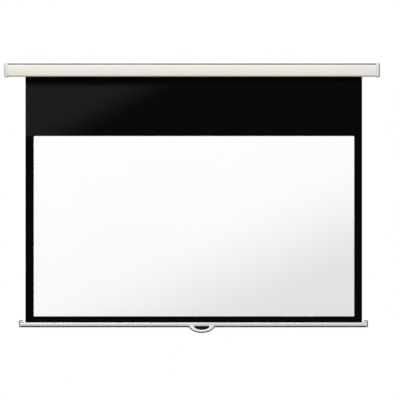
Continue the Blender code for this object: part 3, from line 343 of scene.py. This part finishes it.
def rubber():
    """Black rubber with a dusty bloom."""
    f = Finish("rubber_finish", specular_ior_level=0.15, sheen_weight=0.03)
    f.colour(f.ramp(f.noise(420.0, 4.0), 0.35, 0.75), (0.012, 0.012, 0.012), (0.021, 0.020, 0.019))
    f.roughness(f.noise(300.0, 2.0), 0.72, 0.88)
    f.bump((f.noise(1900.0, 4.0), 0.00005))
    return f.material


def satin_slat():
    """Satin anodised aluminium with lines along its length."""
    f = Finish("satin_slat_finish", metallic=0.45)
    lines = f.noise(1.0, 3.0, f.stretched(1.2, 3000.0, 3000.0))
    f.colour(f.ramp(lines, *NOISE_RANGE), (0.384, 0.384, 0.379), (0.429, 0.429, 0.424))
    f.roughness(f.noise(1.0, 2.0, f.stretched(2.0, 1200.0, 1200.0)), 0.36, 0.44)
    f.bump((lines, 0.000015))
    return f.material


WEAVE_PITCH = 0.0006


def weave(f):
    """Height of a plain weave in the XZ plane: warp over weft in turn."""
    xyz = f.add("ShaderNodeSeparateXYZ", {"Vector": f.place})
    across = f.maths("MULTIPLY", xyz.outputs["X"], math.pi / WEAVE_PITCH)
    up = f.maths("MULTIPLY", xyz.outputs["Z"], math.pi / WEAVE_PITCH)
    over = f.maths("MULTIPLY", f.maths("SINE", across), f.maths("SINE", up))
    return f.ramp(over, -1.0, 1.0)


def across_line(f, shares):
    """How far a point lies across a slanted line in the XZ plane."""
    xyz = f.add("ShaderNodeSeparateXYZ", {"Vector": f.place})
    along = f.maths("MULTIPLY", xyz.outputs["X"], shares[0])
    return f.maths("ADD", along, f.maths("MULTIPLY", xyz.outputs["Z"], shares[1]))


# Painted sheen on the drop, standing in for the key lamp's reflection: the shares of x and z in the line that
# it fades across, the line's place and half width, and the heights that it fades between at its top, below the
# case's shadow, and at its foot above the white area
PAINTED_SHEEN_LINE = (0.469, -0.883)
PAINTED_SHEEN_OFFSET = -0.042
PAINTED_SHEEN_WIDTH = 0.115
PAINTED_SHEEN_TOP = (-0.115, -0.080)
PAINTED_SHEEN_FOOT = (PICTURE_HIGH.z - 0.004, PICTURE_HIGH.z + 0.008)


def black_cloth():
    """Black coated cloth: a fine weave, and on its front a faint grey painted sheen towards the upper left,
    standing in for the key lamp's reflection.
    """
    f = Finish("black_cloth_finish", specular_ior_level=0.013)
    height = f.add("ShaderNodeSeparateXYZ", {"Vector": f.place}).outputs["Z"]
    line = across_line(f, PAINTED_SHEEN_LINE)
    # Painted sheen: a mask over the upper left of the front, below the case's shadow, mottled by noise
    side = f.ramp(line, PAINTED_SHEEN_OFFSET - PAINTED_SHEEN_WIDTH, PAINTED_SHEEN_OFFSET + PAINTED_SHEEN_WIDTH, 1.0, 0.0)
    below = f.ramp(height, *PAINTED_SHEEN_TOP, 1.0, 0.0)
    above = f.ramp(height, *PAINTED_SHEEN_FOOT)
    band = f.maths("MULTIPLY", above, below)
    sheen_mottle = f.ramp(f.noise(900.0, 3.0), *NOISE_RANGE, 0.85, 1.15, "LINEAR")
    facing = f.add("ShaderNodeSeparateXYZ", {"Vector": f.add("ShaderNodeTexCoord").outputs["Normal"]})
    front = f.ramp(facing.outputs["Y"], -0.5, 0.5, 1.0, 0.0)
    share = f.maths("MULTIPLY", f.maths("MULTIPLY", side, band), f.maths("MULTIPLY", front, sheen_mottle))
    # The second colour is the grey of the painted sheen
    f.colour(share, (0.0011, 0.0011, 0.0011), (0.0092, 0.0098, 0.0095))
    f.roughness(f.noise(700.0, 2.0), 0.52, 0.68)
    f.bump((weave(f), 0.00006), (f.noise(2600.0, 2.0), 0.00002))
    return f.material


# Painted shade: the white coating darkens across a diagonal towards its lower right, standing in for the key
# lamp's falloff. The shares of x and z in the diagonal, and its span
PAINTED_SHADE_LINE = (0.65, -1.40)
PAINTED_SHADE_SPAN = (1.44, 2.53)


def matt_white():
    """Matt white coating with a fine diffusing grain, and painted shade that darkens it towards its lower
    right, standing in for the key lamp's falloff.
    """
    f = Finish("matt_white_finish", specular_ior_level=0.10)
    painted_shade = f.ramp(across_line(f, PAINTED_SHADE_LINE), *PAINTED_SHADE_SPAN)
    patches = f.ramp(f.noise(1.3, 3.0), *NOISE_RANGE, 0.0, 0.06)
    # The second colour is the darker white of the painted shade; the random patches add to it a little
    f.colour(f.maths("ADD", painted_shade, patches), (0.905, 0.905, 0.903), (0.739, 0.739, 0.738))
    f.roughness(f.noise(800.0, 2.0), 0.84, 0.95)
    f.bump((f.noise(3300.0, 2.0), 0.00003), (weave(f), 0.00001))
    return f.material


FINISHES = {
    "coated_white": coated_white(),
    "moulded_white": moulded_white("cap_white_finish", (0.655, 0.648, 0.604), (0.634, 0.625, 0.578)),
    "grey_rail": grey_rail(),
    "plated_steel": plated_steel(),
    "tube_steel": tube_steel(),
    "spring_steel": spring_steel(),
    "dark_plastic": dark_plastic(),
    "natural_nylon": natural_nylon(),
    "rubber": rubber(),
    "black_cloth": black_cloth(),
    "matt_white": matt_white(),
    "satin_slat": satin_slat(),
}

# The pale mouldings on the bar are a colder white than the caps
BAR_WHITE = moulded_white("bar_white_finish", (0.745, 0.745, 0.742), (0.715, 0.714, 0.708))
BAR_MOULDINGS = ("handle", "left_slat_end", "right_slat_end")


# Meshes

def piece(name, mesh, slot, body, replaced=()):
    """A shown piece that rides on a body, and stands for the CAD nodes it replaces."""
    made = bpy.data.objects.new(name, mesh)
    bpy.context.scene.collection.objects.link(made)
    mesh.materials.append(FINISHES[slot])
    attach(made, body)
    if replaced:
        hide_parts(*replaced)
    return made


def spread(low, high, count):
    """Evenly spaced values from low to high, both included."""
    return [low + (high - low) * i / count for i in range(count + 1)]


def cells(length):
    """How many cells of the cloth fit along a length."""
    return round(length / CLOTH_CELL)


def smoothstep(value):
    value = min(max(value, 0.0), 1.0)
    return value * value * (3 - 2 * value)


def tube(work, rings):
    """Adds the faces between rings of a bmesh's vertices, from each ring to the next."""
    for before, after in zip(rings, rings[1:]):
        for j in range(len(before)):
            k = (j + 1) % len(before)
            work.faces.new((before[j], before[k], after[k], after[j]))


def as_mesh(work, name):
    """The mesh of a bmesh, with its faces turned outwards, and smooth up to its sharp edges."""
    bmesh.ops.recalc_face_normals(work, faces=work.faces)
    mesh = bpy.data.meshes.new(name)
    work.to_mesh(mesh)
    work.free()
    mesh.shade_smooth()
    mesh.set_sharp_from_angle(angle=SHARP_ANGLE)
    return mesh


def two_sided(front, back):
    """A closed thin sheet from the rows of points of its two sides, joined round the rim."""
    height, width = len(front), len(front[0])
    shift = height * width
    faces = []
    for i in range(height - 1):
        for j in range(width - 1):
            here, below = i * width + j, (i + 1) * width + j
            faces.append((here, below, below + 1, here + 1))
            faces.append(tuple(corner + shift for corner in (here, here + 1, below + 1, below)))
    rim = list(range(width)) + [i * width + width - 1 for i in range(1, height)]
    rim += [(height - 1) * width + j for j in range(width - 2, -1, -1)]
    rim += [i * width for i in range(height - 2, 0, -1)]
    for here, after in zip(rim, rim[1:] + rim[:1], strict=True):
        faces.append((here, after, after + shift, here + shift))
    work = bmesh.new()
    points = [work.verts.new(point) for row in front + back for point in row]
    for face in faces:
        work.faces.new([points[corner] for corner in face])
    bmesh.ops.remove_doubles(work, verts=work.verts, dist=FINE_MERGE)
    return as_mesh(work, "sheet")


def ripple(x, z):
    """How far the hanging cloth stands behind its flat plane: slow waves, and edges that curl back."""
    down = (CLOTH_HIGH.z - z) / (CLOTH_HIGH.z - CLOTH_LOW.z)
    free = math.sin(math.pi * min(max(down, 0.0), 1.0))
    waves = sum(share * math.sin(along * x + up * z + phase) for share, along, up, phase in WAVES)
    left = smoothstep(1 - (x - CLOTH_LOW.x) / EDGE_CURL_WIDTH)
    right = smoothstep(1 - (CLOTH_HIGH.x - x) / EDGE_CURL_WIDTH)
    return free * (RIPPLE * waves + EDGE_CURL * (left + right))


def hung(rows, front, back):
    """A sheet over rows of (x, z) that hangs with the cloth, from y = front to y = back."""
    sides = [[[(x, y + ripple(x, z), z) for x, z in row] for row in rows] for y in (front, back)]
    return two_sided(*sides)


def make_cloth():
    size = CLOTH_HIGH - CLOTH_LOW
    xs = spread(CLOTH_LOW.x, CLOTH_HIGH.x, cells(size.x))
    rows = [[(x, z) for x in xs] for z in spread(CLOTH_HIGH.z, CLOTH_LOW.z, cells(size.z))]
    mesh = hung(rows, CLOTH_LOW.y, CLOTH_HIGH.y)
    return piece("hanging_cloth", mesh, "black_cloth", "screen_case", ["screen_cloth"])


def make_picture():
    """The white coating, with rounded corners, on the front of the cloth."""
    corner = PICTURE_CORNER
    heights = [corner * (1 - math.cos(math.pi / 2 * i / CORNER_CELLS)) for i in range(CORNER_CELLS)]
    top, bottom = PICTURE_HIGH.z, PICTURE_LOW.z
    zs = [top - height for height in heights]
    zs += spread(top - corner, bottom + corner, cells(top - bottom))
    zs += [bottom + height for height in heights[::-1]]
    columns = cells(PICTURE_HIGH.x - PICTURE_LOW.x)
    rows = []
    for z in zs:
        inside = min(top - z, z - bottom, corner)
        cut = corner - math.sqrt(max(corner**2 - (corner - inside) ** 2, 0.0))
        rows.append([(x, z) for x in spread(PICTURE_LOW.x + cut, PICTURE_HIGH.x - cut, columns)])
    back = CLOTH_LOW.y - SKIN_GAP
    mesh = hung(rows, back - COATING, back)
    return piece("white_picture_area", mesh, "matt_white", "screen_case", ["viewing_surface"])


def make_roll():
    """The turns of cloth left on the roller: a spiral whose edges wander a little."""
    start_radius = CLOTH_Y - ROLLER_Y - WRAP_TURNS * WRAP_PITCH
    count = WRAP_TURNS * WRAP_STEPS
    middle, half = (ROLL_LOW.x + ROLL_HIGH.x) / 2, (ROLL_HIGH.x - ROLL_LOW.x) / 2
    sides = []
    for offset in (CLOTH_THICKNESS / 2, -CLOTH_THICKNESS / 2):
        rows = []
        for i in range(count + 1):
            angle = 2 * math.pi * (i - count) / WRAP_STEPS
            radius = start_radius + WRAP_PITCH * i / WRAP_STEPS + offset
            y, z = ROLLER_Y + radius * math.cos(angle), -radius * math.sin(angle)
            reach = half - WRAP_WANDER * (1 + math.sin(WANDER_RATE * i + WANDER_PHASE)) / 2
            rows.append([(x, y, z) for x in spread(middle - reach, middle + reach, WRAP_COLUMNS)])
        sides.append(rows)
    return piece("wound_cloth", two_sided(*sides), "black_cloth", "roller", ["fabric_roll"])


def make_hem():
    """The doubled cloth above the slat, welded in ribs, and its pocket round the rod.

    It laps a little over the hanging cloth's end, which lies between its two layers.
    """
    rod_z = SLAT_HIGH.z - ROD_DEPTH
    lean = math.degrees(math.asin(HEM_HALF / HEM_RADIUS))
    ribs = []
    for i, z in enumerate(spread(*WELD_BAND, WELD_RIB_STEPS * WELD_RIBS)):
        turn = 2 * math.pi * i / WELD_RIB_STEPS
        ribs.append((HEM_HALF - WELD_HEIGHT * (1 - math.cos(turn)) / 2, z))
    pocket = [math.radians(angle) for angle in spread(90 + lean, 450 - lean, POCKET_STEPS)]
    top = HEM_HIGH.z + HEM_LAP
    outer = [(CLOTH_Y - HEM_HALF, top)]
    outer += [(CLOTH_Y - half, z) for half, z in ribs]
    outer += [(CLOTH_Y + HEM_RADIUS * math.cos(a), rod_z + HEM_RADIUS * math.sin(a)) for a in pocket]
    outer += [(CLOTH_Y + half, z) for half, z in ribs[::-1]]
    outer += [(CLOTH_Y + HEM_HALF, top)]
    bore = [(CLOTH_Y + HEM_BORE * math.cos(a), rod_z + HEM_BORE * math.sin(a)) for a in pocket[:-1]]
    xs = spread(HEM_LOW.x, HEM_HIGH.x, HEM_COLUMNS)
    work = bmesh.new()
    for section in (outer, bore[::-1]):
        tube(work, [[work.verts.new((x, y, z)) for y, z in section] for x in xs])
    open_edges = [e for e in work.edges if e.is_boundary]
    for end in (xs[0], xs[-1]):
        chosen = [e for e in open_edges if all(abs(v.co.x - end) < MERGE for v in e.verts)]
        bmesh.ops.triangle_fill(work, edges=chosen, use_beauty=True, use_dissolve=False)
    return piece("hem_band", as_mesh(work, "hem"), "black_cloth", "bottom_bar", ["hem_pocket"])


def dish(arc, steps, shrink=0.0):
    """Points (x, z) of an ellipse's part below a chord, about the handle's middle, from left to right."""
    half, top, bottom, rise = arc
    full = top + rise - bottom
    across, down = half / math.sqrt(1 - (rise / full) ** 2) - shrink, full - shrink
    lean = math.asin(rise / down)
    centre = top + rise
    angles = spread(math.pi + lean, 2 * math.pi - lean, steps)
    return [Vector((HANDLE_X + across * math.cos(a), centre + down * math.sin(a))) for a in angles]


def rounded_path(path):
    """The points of a path of (point, radius), with an arc at each corner that has a radius."""
    points = []
    for i, (here, radius) in enumerate(path):
        if not radius:
            points.append(here)
            continue
        before, after = (path[i - 1][0] - here).normalized(), (path[i + 1][0] - here).normalized()
        half = before.angle(after) / 2
        centre = here + (before + after).normalized() * (radius / math.sin(half))
        spoke = here + before * (radius / math.tan(half)) - centre
        turn = spoke.angle_signed(here + after * (radius / math.tan(half)) - centre)
        spokes = [Matrix.Rotation(-turn * k / CORNER_CELLS, 2) @ spoke for k in range(CORNER_CELLS + 1)]
        points += [centre + turned for turned in spokes]
    return points


def edge_distance(point, outline):
    """Distance from a point to a closed outline."""
    nearest = math.inf
    for before, after in zip(outline, outline[1:] + outline[:1], strict=True):
        along = after - before
        if along.length > MERGE:
            share = min(max((point - before).dot(along) / along.length_squared, 0.0), 1.0)
            nearest = min(nearest, (point - before - along * share).length)
    return nearest


def face_height(distance):
    """How far the handle's front stands at a distance from its outline: a rounded edge, then a crown."""
    short = FACE_EDGE - min(distance, FACE_EDGE)
    drop = FACE_EDGE - math.sqrt(FACE_EDGE**2 - short**2)
    return HANDLE_LOW.y + drop - FACE_CROWN * (1 - (1 - min(distance / FACE_HALF, 1.0)) ** 2)


def make_handle():
    """The crescent with a crowned face. Its rows run from the grip's edge to the rim."""
    grip, rim = dish(GRIP_ARC, ARC_STEPS), dish(RIM_ARC, ARC_STEPS, RIM_SHRINK)
    inner, outer = GRIP_ARC[0] + EAR_INSET, rim[-1].x - HANDLE_X - EAR_OUTSET
    top, middle = HANDLE_HIGH.z, (inner + outer) / 2
    sides = []
    for arc, reach, radius in ((grip, inner, EAR_RADII[0]), (rim, outer, EAR_RADII[1])):
        route = [(Vector((HANDLE_X - middle, top)), 0), (Vector((HANDLE_X - reach, top)), radius)]
        route += [(point, 0) for point in arc]
        route += [(Vector((HANDLE_X + reach, top)), radius), (Vector((HANDLE_X + middle, top)), 0)]
        sides.append(rounded_path(route))
    outline = sides[0] + sides[1][::-1]
    rows = []
    for (near, near_next), (far, far_next) in zip(*(zip(side, side[1:]) for side in sides), strict=True):
        count = math.ceil(max((near_next - near).length, (far_next - far).length) / FACE_STEP)
        rows += [(near.lerp(near_next, i / count), far.lerp(far_next, i / count)) for i in range(count)]
    rows.append((sides[0][-1], sides[1][-1]))
    front, back = [], []
    for near, far in rows:
        across = [near.lerp(far, share) for share in FACE_COLUMNS]
        points = [(point, edge_distance(point, outline)) for point in across]
        front.append([(p.x, face_height(d), p.y) for p, d in points])
        back.append([(p.x, HANDLE_HIGH.y - max(BACK_CHAMFER - d, 0), p.y) for p, d in points])
    made = piece("crowned_handle", two_sided(front, back), "moulded_white", "bottom_bar", ["handle"])
    made.data.materials[0] = BAR_WHITE


def round_edges(obj, radius):
    """Rounds a piece's sharp edges with a modifier."""
    rounding = obj.modifiers.new("edge", "BEVEL")
    rounding.width = radius
    rounding.segments = EDGE_SEGMENTS
    rounding.limit_method = "ANGLE"
    rounding.angle_limit = SHARP_ANGLE
    return rounding


def rib(work, route):
    """Adds a rib along (x, z) points to a bmesh, standing on the back of the cup."""
    rings = []
    for i, here in enumerate(route):
        along = (route[min(i + 1, len(route) - 1)] - route[max(i - 1, 0)]).normalized()
        aside = Vector((-along.y, along.x)) * RIB_HALF
        low, high = CUP_BACK - RIB_EDGE, CUP_BACK + RIB_HEIGHT
        corners = ((here - aside, low), (here + aside, low), (here + aside, high), (here - aside, high))
        rings.append([work.verts.new((point.x, y, point.y)) for point, y in corners])
    tube(work, rings)
    work.faces.new(rings[0])
    work.faces.new(rings[-1][::-1])


def make_ribs():
    """Moulded stiffening on the back of the cup: a border along its rim, and uprights inside it."""
    border = [point for point in dish(RIM_ARC, RIB_BORDER_STEPS, RIB_BORDER) if point.y < RIB_TOP]
    work = bmesh.new()
    rib(work, border)
    rib(work, [border[0], border[-1]])
    for place in RIB_PLACES:
        foot = min(border, key=lambda point: abs(point.x - HANDLE_X - place))
        rib(work, [Vector((foot.x, border[0].y)), foot])
    round_edges(piece("cup_ribs", as_mesh(work, "ribs"), "dark_plastic", "bottom_bar"), RIB_EDGE)


def sharp_by_angle():
    """A group of geometry nodes that marks the edges sharper than SHARP_ANGLE as sharp."""
    group = bpy.data.node_groups.new("sharp_by_angle", "GeometryNodeTree")
    for way in ("INPUT", "OUTPUT"):
        group.interface.new_socket("Geometry", in_out=way, socket_type="NodeSocketGeometry")
    start, end = group.nodes.new("NodeGroupInput"), group.nodes.new("NodeGroupOutput")
    angle = group.nodes.new("GeometryNodeInputMeshEdgeAngle")
    sharper = group.nodes.new("FunctionNodeCompare")
    sharper.data_type = "FLOAT"
    sharper.operation = "GREATER_THAN"
    sharper.inputs["B"].default_value = SHARP_ANGLE
    mark = group.nodes.new("GeometryNodeStoreNamedAttribute")
    mark.data_type = "BOOLEAN"
    mark.domain = "EDGE"
    mark.inputs["Name"].default_value = "sharp_edge"
    group.links.new(angle.outputs["Unsigned Angle"], sharper.inputs["A"])
    group.links.new(sharper.outputs["Result"], mark.inputs["Value"])
    group.links.new(start.outputs["Geometry"], mark.inputs["Geometry"])
    group.links.new(mark.outputs["Geometry"], end.inputs["Geometry"])
    return group


def refine(obj, square):
    """Shades a CAD node smooth, with modifiers that weld it and round its edges or keep them square."""
    mesh = obj.data
    if "custom_normal" in mesh.attributes:
        mesh.attributes.remove(mesh.attributes["custom_normal"])
    mesh.shade_smooth()
    weld = obj.modifiers.new("weld", "WELD")
    weld.merge_threshold = MERGE
    if square:
        obj.modifiers.new("sharp", "NODES").node_group = SHARP_GROUP
        return
    # Flat triangles are joined, so that their inner edges aren't in the way of the rounding
    flat = obj.modifiers.new("flat", "DECIMATE")
    flat.decimate_type = "DISSOLVE"
    flat.angle_limit = FLAT_ANGLE
    rounding = round_edges(obj, EDGE_RADIUS)
    rounding.harden_normals = True
    rounding.miter_outer = "MITER_SHARP"
    rounding.use_clamp_overlap = False


SHARP_GROUP = sharp_by_angle()
for name, obj in NODES.items():
    for holder in obj.material_slots:
        finish = FINISHES[holder.material.name.split(".")[0]]
        holder.material = BAR_WHITE if name in BAR_MOULDINGS else finish
    refine(obj, name in SQUARE_EDGED)

# Travel of the bottom bar, and the share of their height that the cloth and the white would keep at its end;
# nothing below applies these shares.
# The white's share is a little less, so that it would stay clear of the hem.
TRAVEL = next(j for j in frame["joints"] if j["name"] == "screen_travel")["range_m"][1]
CLOTH_KEEP = 1 + TRAVEL / CLOTH_LOW.z
PICTURE_KEEP = (HEM_HIGH.z + HEM_LAP + PICTURE_CLEARANCE + TRAVEL) / PICTURE_LOW.z

cloth = make_cloth()
picture = make_picture()
for soft, keep in ((cloth, CLOTH_KEEP), (picture, PICTURE_KEEP)):
    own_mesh(soft)
hem = make_hem()
roll = make_roll()
make_handle()
make_ribs()


# Light, floor and camera

def is_seen(nodes, links):
    """1 for a ray from the camera, also by way of gloss or glass, and 0 for one that only lights."""
    path = nodes.new("ShaderNodeLightPath")
    seen = path.outputs["Is Camera Ray"]
    for other in ("Is Glossy Ray", "Is Transmission Ray"):
        either = nodes.new("ShaderNodeMath")
        either.operation = "MAXIMUM"
        links.new(seen, either.inputs[0])
        links.new(path.outputs[other], either.inputs[1])
        seen = either.outputs["Value"]
    return seen


def make_world():
    """White where the camera sees it. As a light it is dim, and dimmer from below and from the right."""
    world = bpy.data.worlds.new("studio")
    world.use_nodes = True
    nodes, links = world.node_tree.nodes, world.node_tree.links
    background = nodes["Background"]
    background.inputs["Color"].default_value = (1, 1, 1, 1)
    place = nodes.new("ShaderNodeTexCoord")
    direction = nodes.new("ShaderNodeSeparateXYZ")
    links.new(place.outputs["Generated"], direction.inputs["Vector"])
    shaded = nodes.new("ShaderNodeMath")
    shaded.operation = "MULTIPLY_ADD"
    links.new(direction.outputs["X"], shaded.inputs[0])
    links.new(direction.outputs["Z"], shaded.inputs[2])
    shaded.inputs[1].default_value = -FILL_SIDE
    fill = nodes.new("ShaderNodeMapRange")
    fill.interpolation_type = "SMOOTHSTEP"
    links.new(shaded.outputs["Value"], fill.inputs["Value"])
    level = nodes.new("ShaderNodeMapRange")
    links.new(is_seen(nodes, links), level.inputs["Value"])
    links.new(fill.outputs["Result"], level.inputs["To Min"])
    level.inputs["To Max"].default_value = 1.0
    links.new(level.outputs["Result"], background.inputs["Strength"])
    fill.inputs["From Min"].default_value = -HORIZON
    fill.inputs["From Max"].default_value = HORIZON
    fill.inputs["To Min"].default_value = FILL_BELOW
    fill.inputs["To Max"].default_value = FILL
    bpy.context.scene.world = world


def lamp(name, at, towards, size, power):
    data = bpy.data.lights.new(name, "AREA")
    data.shape = "DISK"
    data.size = size
    data.energy = power
    made = bpy.data.objects.new(name, data)
    made.location = at
    made.rotation_euler = (Vector(towards) - Vector(at)).to_track_quat("-Z", "Y").to_euler()
    made.visible_camera = False
    bpy.context.scene.collection.objects.link(made)


def make_floor():
    """A pale disc that fades into the background at its rim, and is clear from below."""
    mesh = bpy.data.meshes.new("floor")
    work = bmesh.new()
    bmesh.ops.create_circle(work, cap_ends=True, segments=FLOOR_SIDES, radius=FLOOR_RADIUS)
    work.to_mesh(mesh)
    work.free()
    floor = bpy.data.objects.new("floor", mesh)
    floor.location = (VIEW_CENTRE[0], 0, FLOOR_HEIGHT)
    bpy.context.scene.collection.objects.link(floor)
    paint = Finish("floor_paint", roughness=0.9, specular_ior_level=0.1)
    seen = is_seen(paint.nodes, paint.links)
    paint.colour(seen, FLOOR_SEEN_BY_LIGHT, FLOOR_SEEN)
    glow = paint.add("ShaderNodeEmission", {"Strength": paint.ramp(seen, 0.0, 1.0, FILL, 1.0, "LINEAR")})
    middle = paint.add("ShaderNodeVectorMath", {0: paint.place}, operation="LENGTH").outputs["Value"]
    rim = paint.ramp(middle, FLOOR_FADE[0] * FLOOR_RADIUS, FLOOR_FADE[1] * FLOOR_RADIUS)
    blend = paint.add("ShaderNodeMixShader", {"Fac": rim})
    paint.links.new(paint.shader.outputs["BSDF"], blend.inputs[1])
    paint.links.new(glow.outputs["Emission"], blend.inputs[2])
    under = paint.add("ShaderNodeNewGeometry").outputs["Backfacing"]
    sheet = paint.add("ShaderNodeMixShader", {"Fac": under})
    paint.links.new(blend.outputs["Shader"], sheet.inputs[1])
    paint.links.new(paint.add("ShaderNodeBsdfTransparent").outputs["BSDF"], sheet.inputs[2])
    paint.links.new(sheet.outputs["Shader"], paint.nodes["Material Output"].inputs["Surface"])
    mesh.materials.append(paint.material)


def make_camera():
    data = bpy.data.cameras.new("camera")
    data.sensor_width = SENSOR_MM
    data.lens = SENSOR_MM * CAMERA_DISTANCE / FRAME_WIDTH
    data.clip_start = 1.0
    data.clip_end = 2 * CAMERA_DISTANCE
    camera = bpy.data.objects.new("camera", data)
    camera.location = (VIEW_CENTRE[0], CLOTH_Y - CAMERA_DISTANCE, VIEW_CENTRE[1])
    camera.rotation_euler = (math.radians(90), 0, 0)
    bpy.context.scene.collection.objects.link(camera)
    bpy.context.scene.camera = camera


make_world()
lamp("key", at=(-2.6, -19.0, 10.1), towards=(0.0, 0.0, -0.3), size=4.0, power=4345)
lamp("rear", at=(0.0, 5.5, 3.0), towards=(0.0, 0.0, -0.8), size=4.0, power=230)
make_floor()
make_camera()
bpy.context.scene.view_settings.view_transform = "Standard"
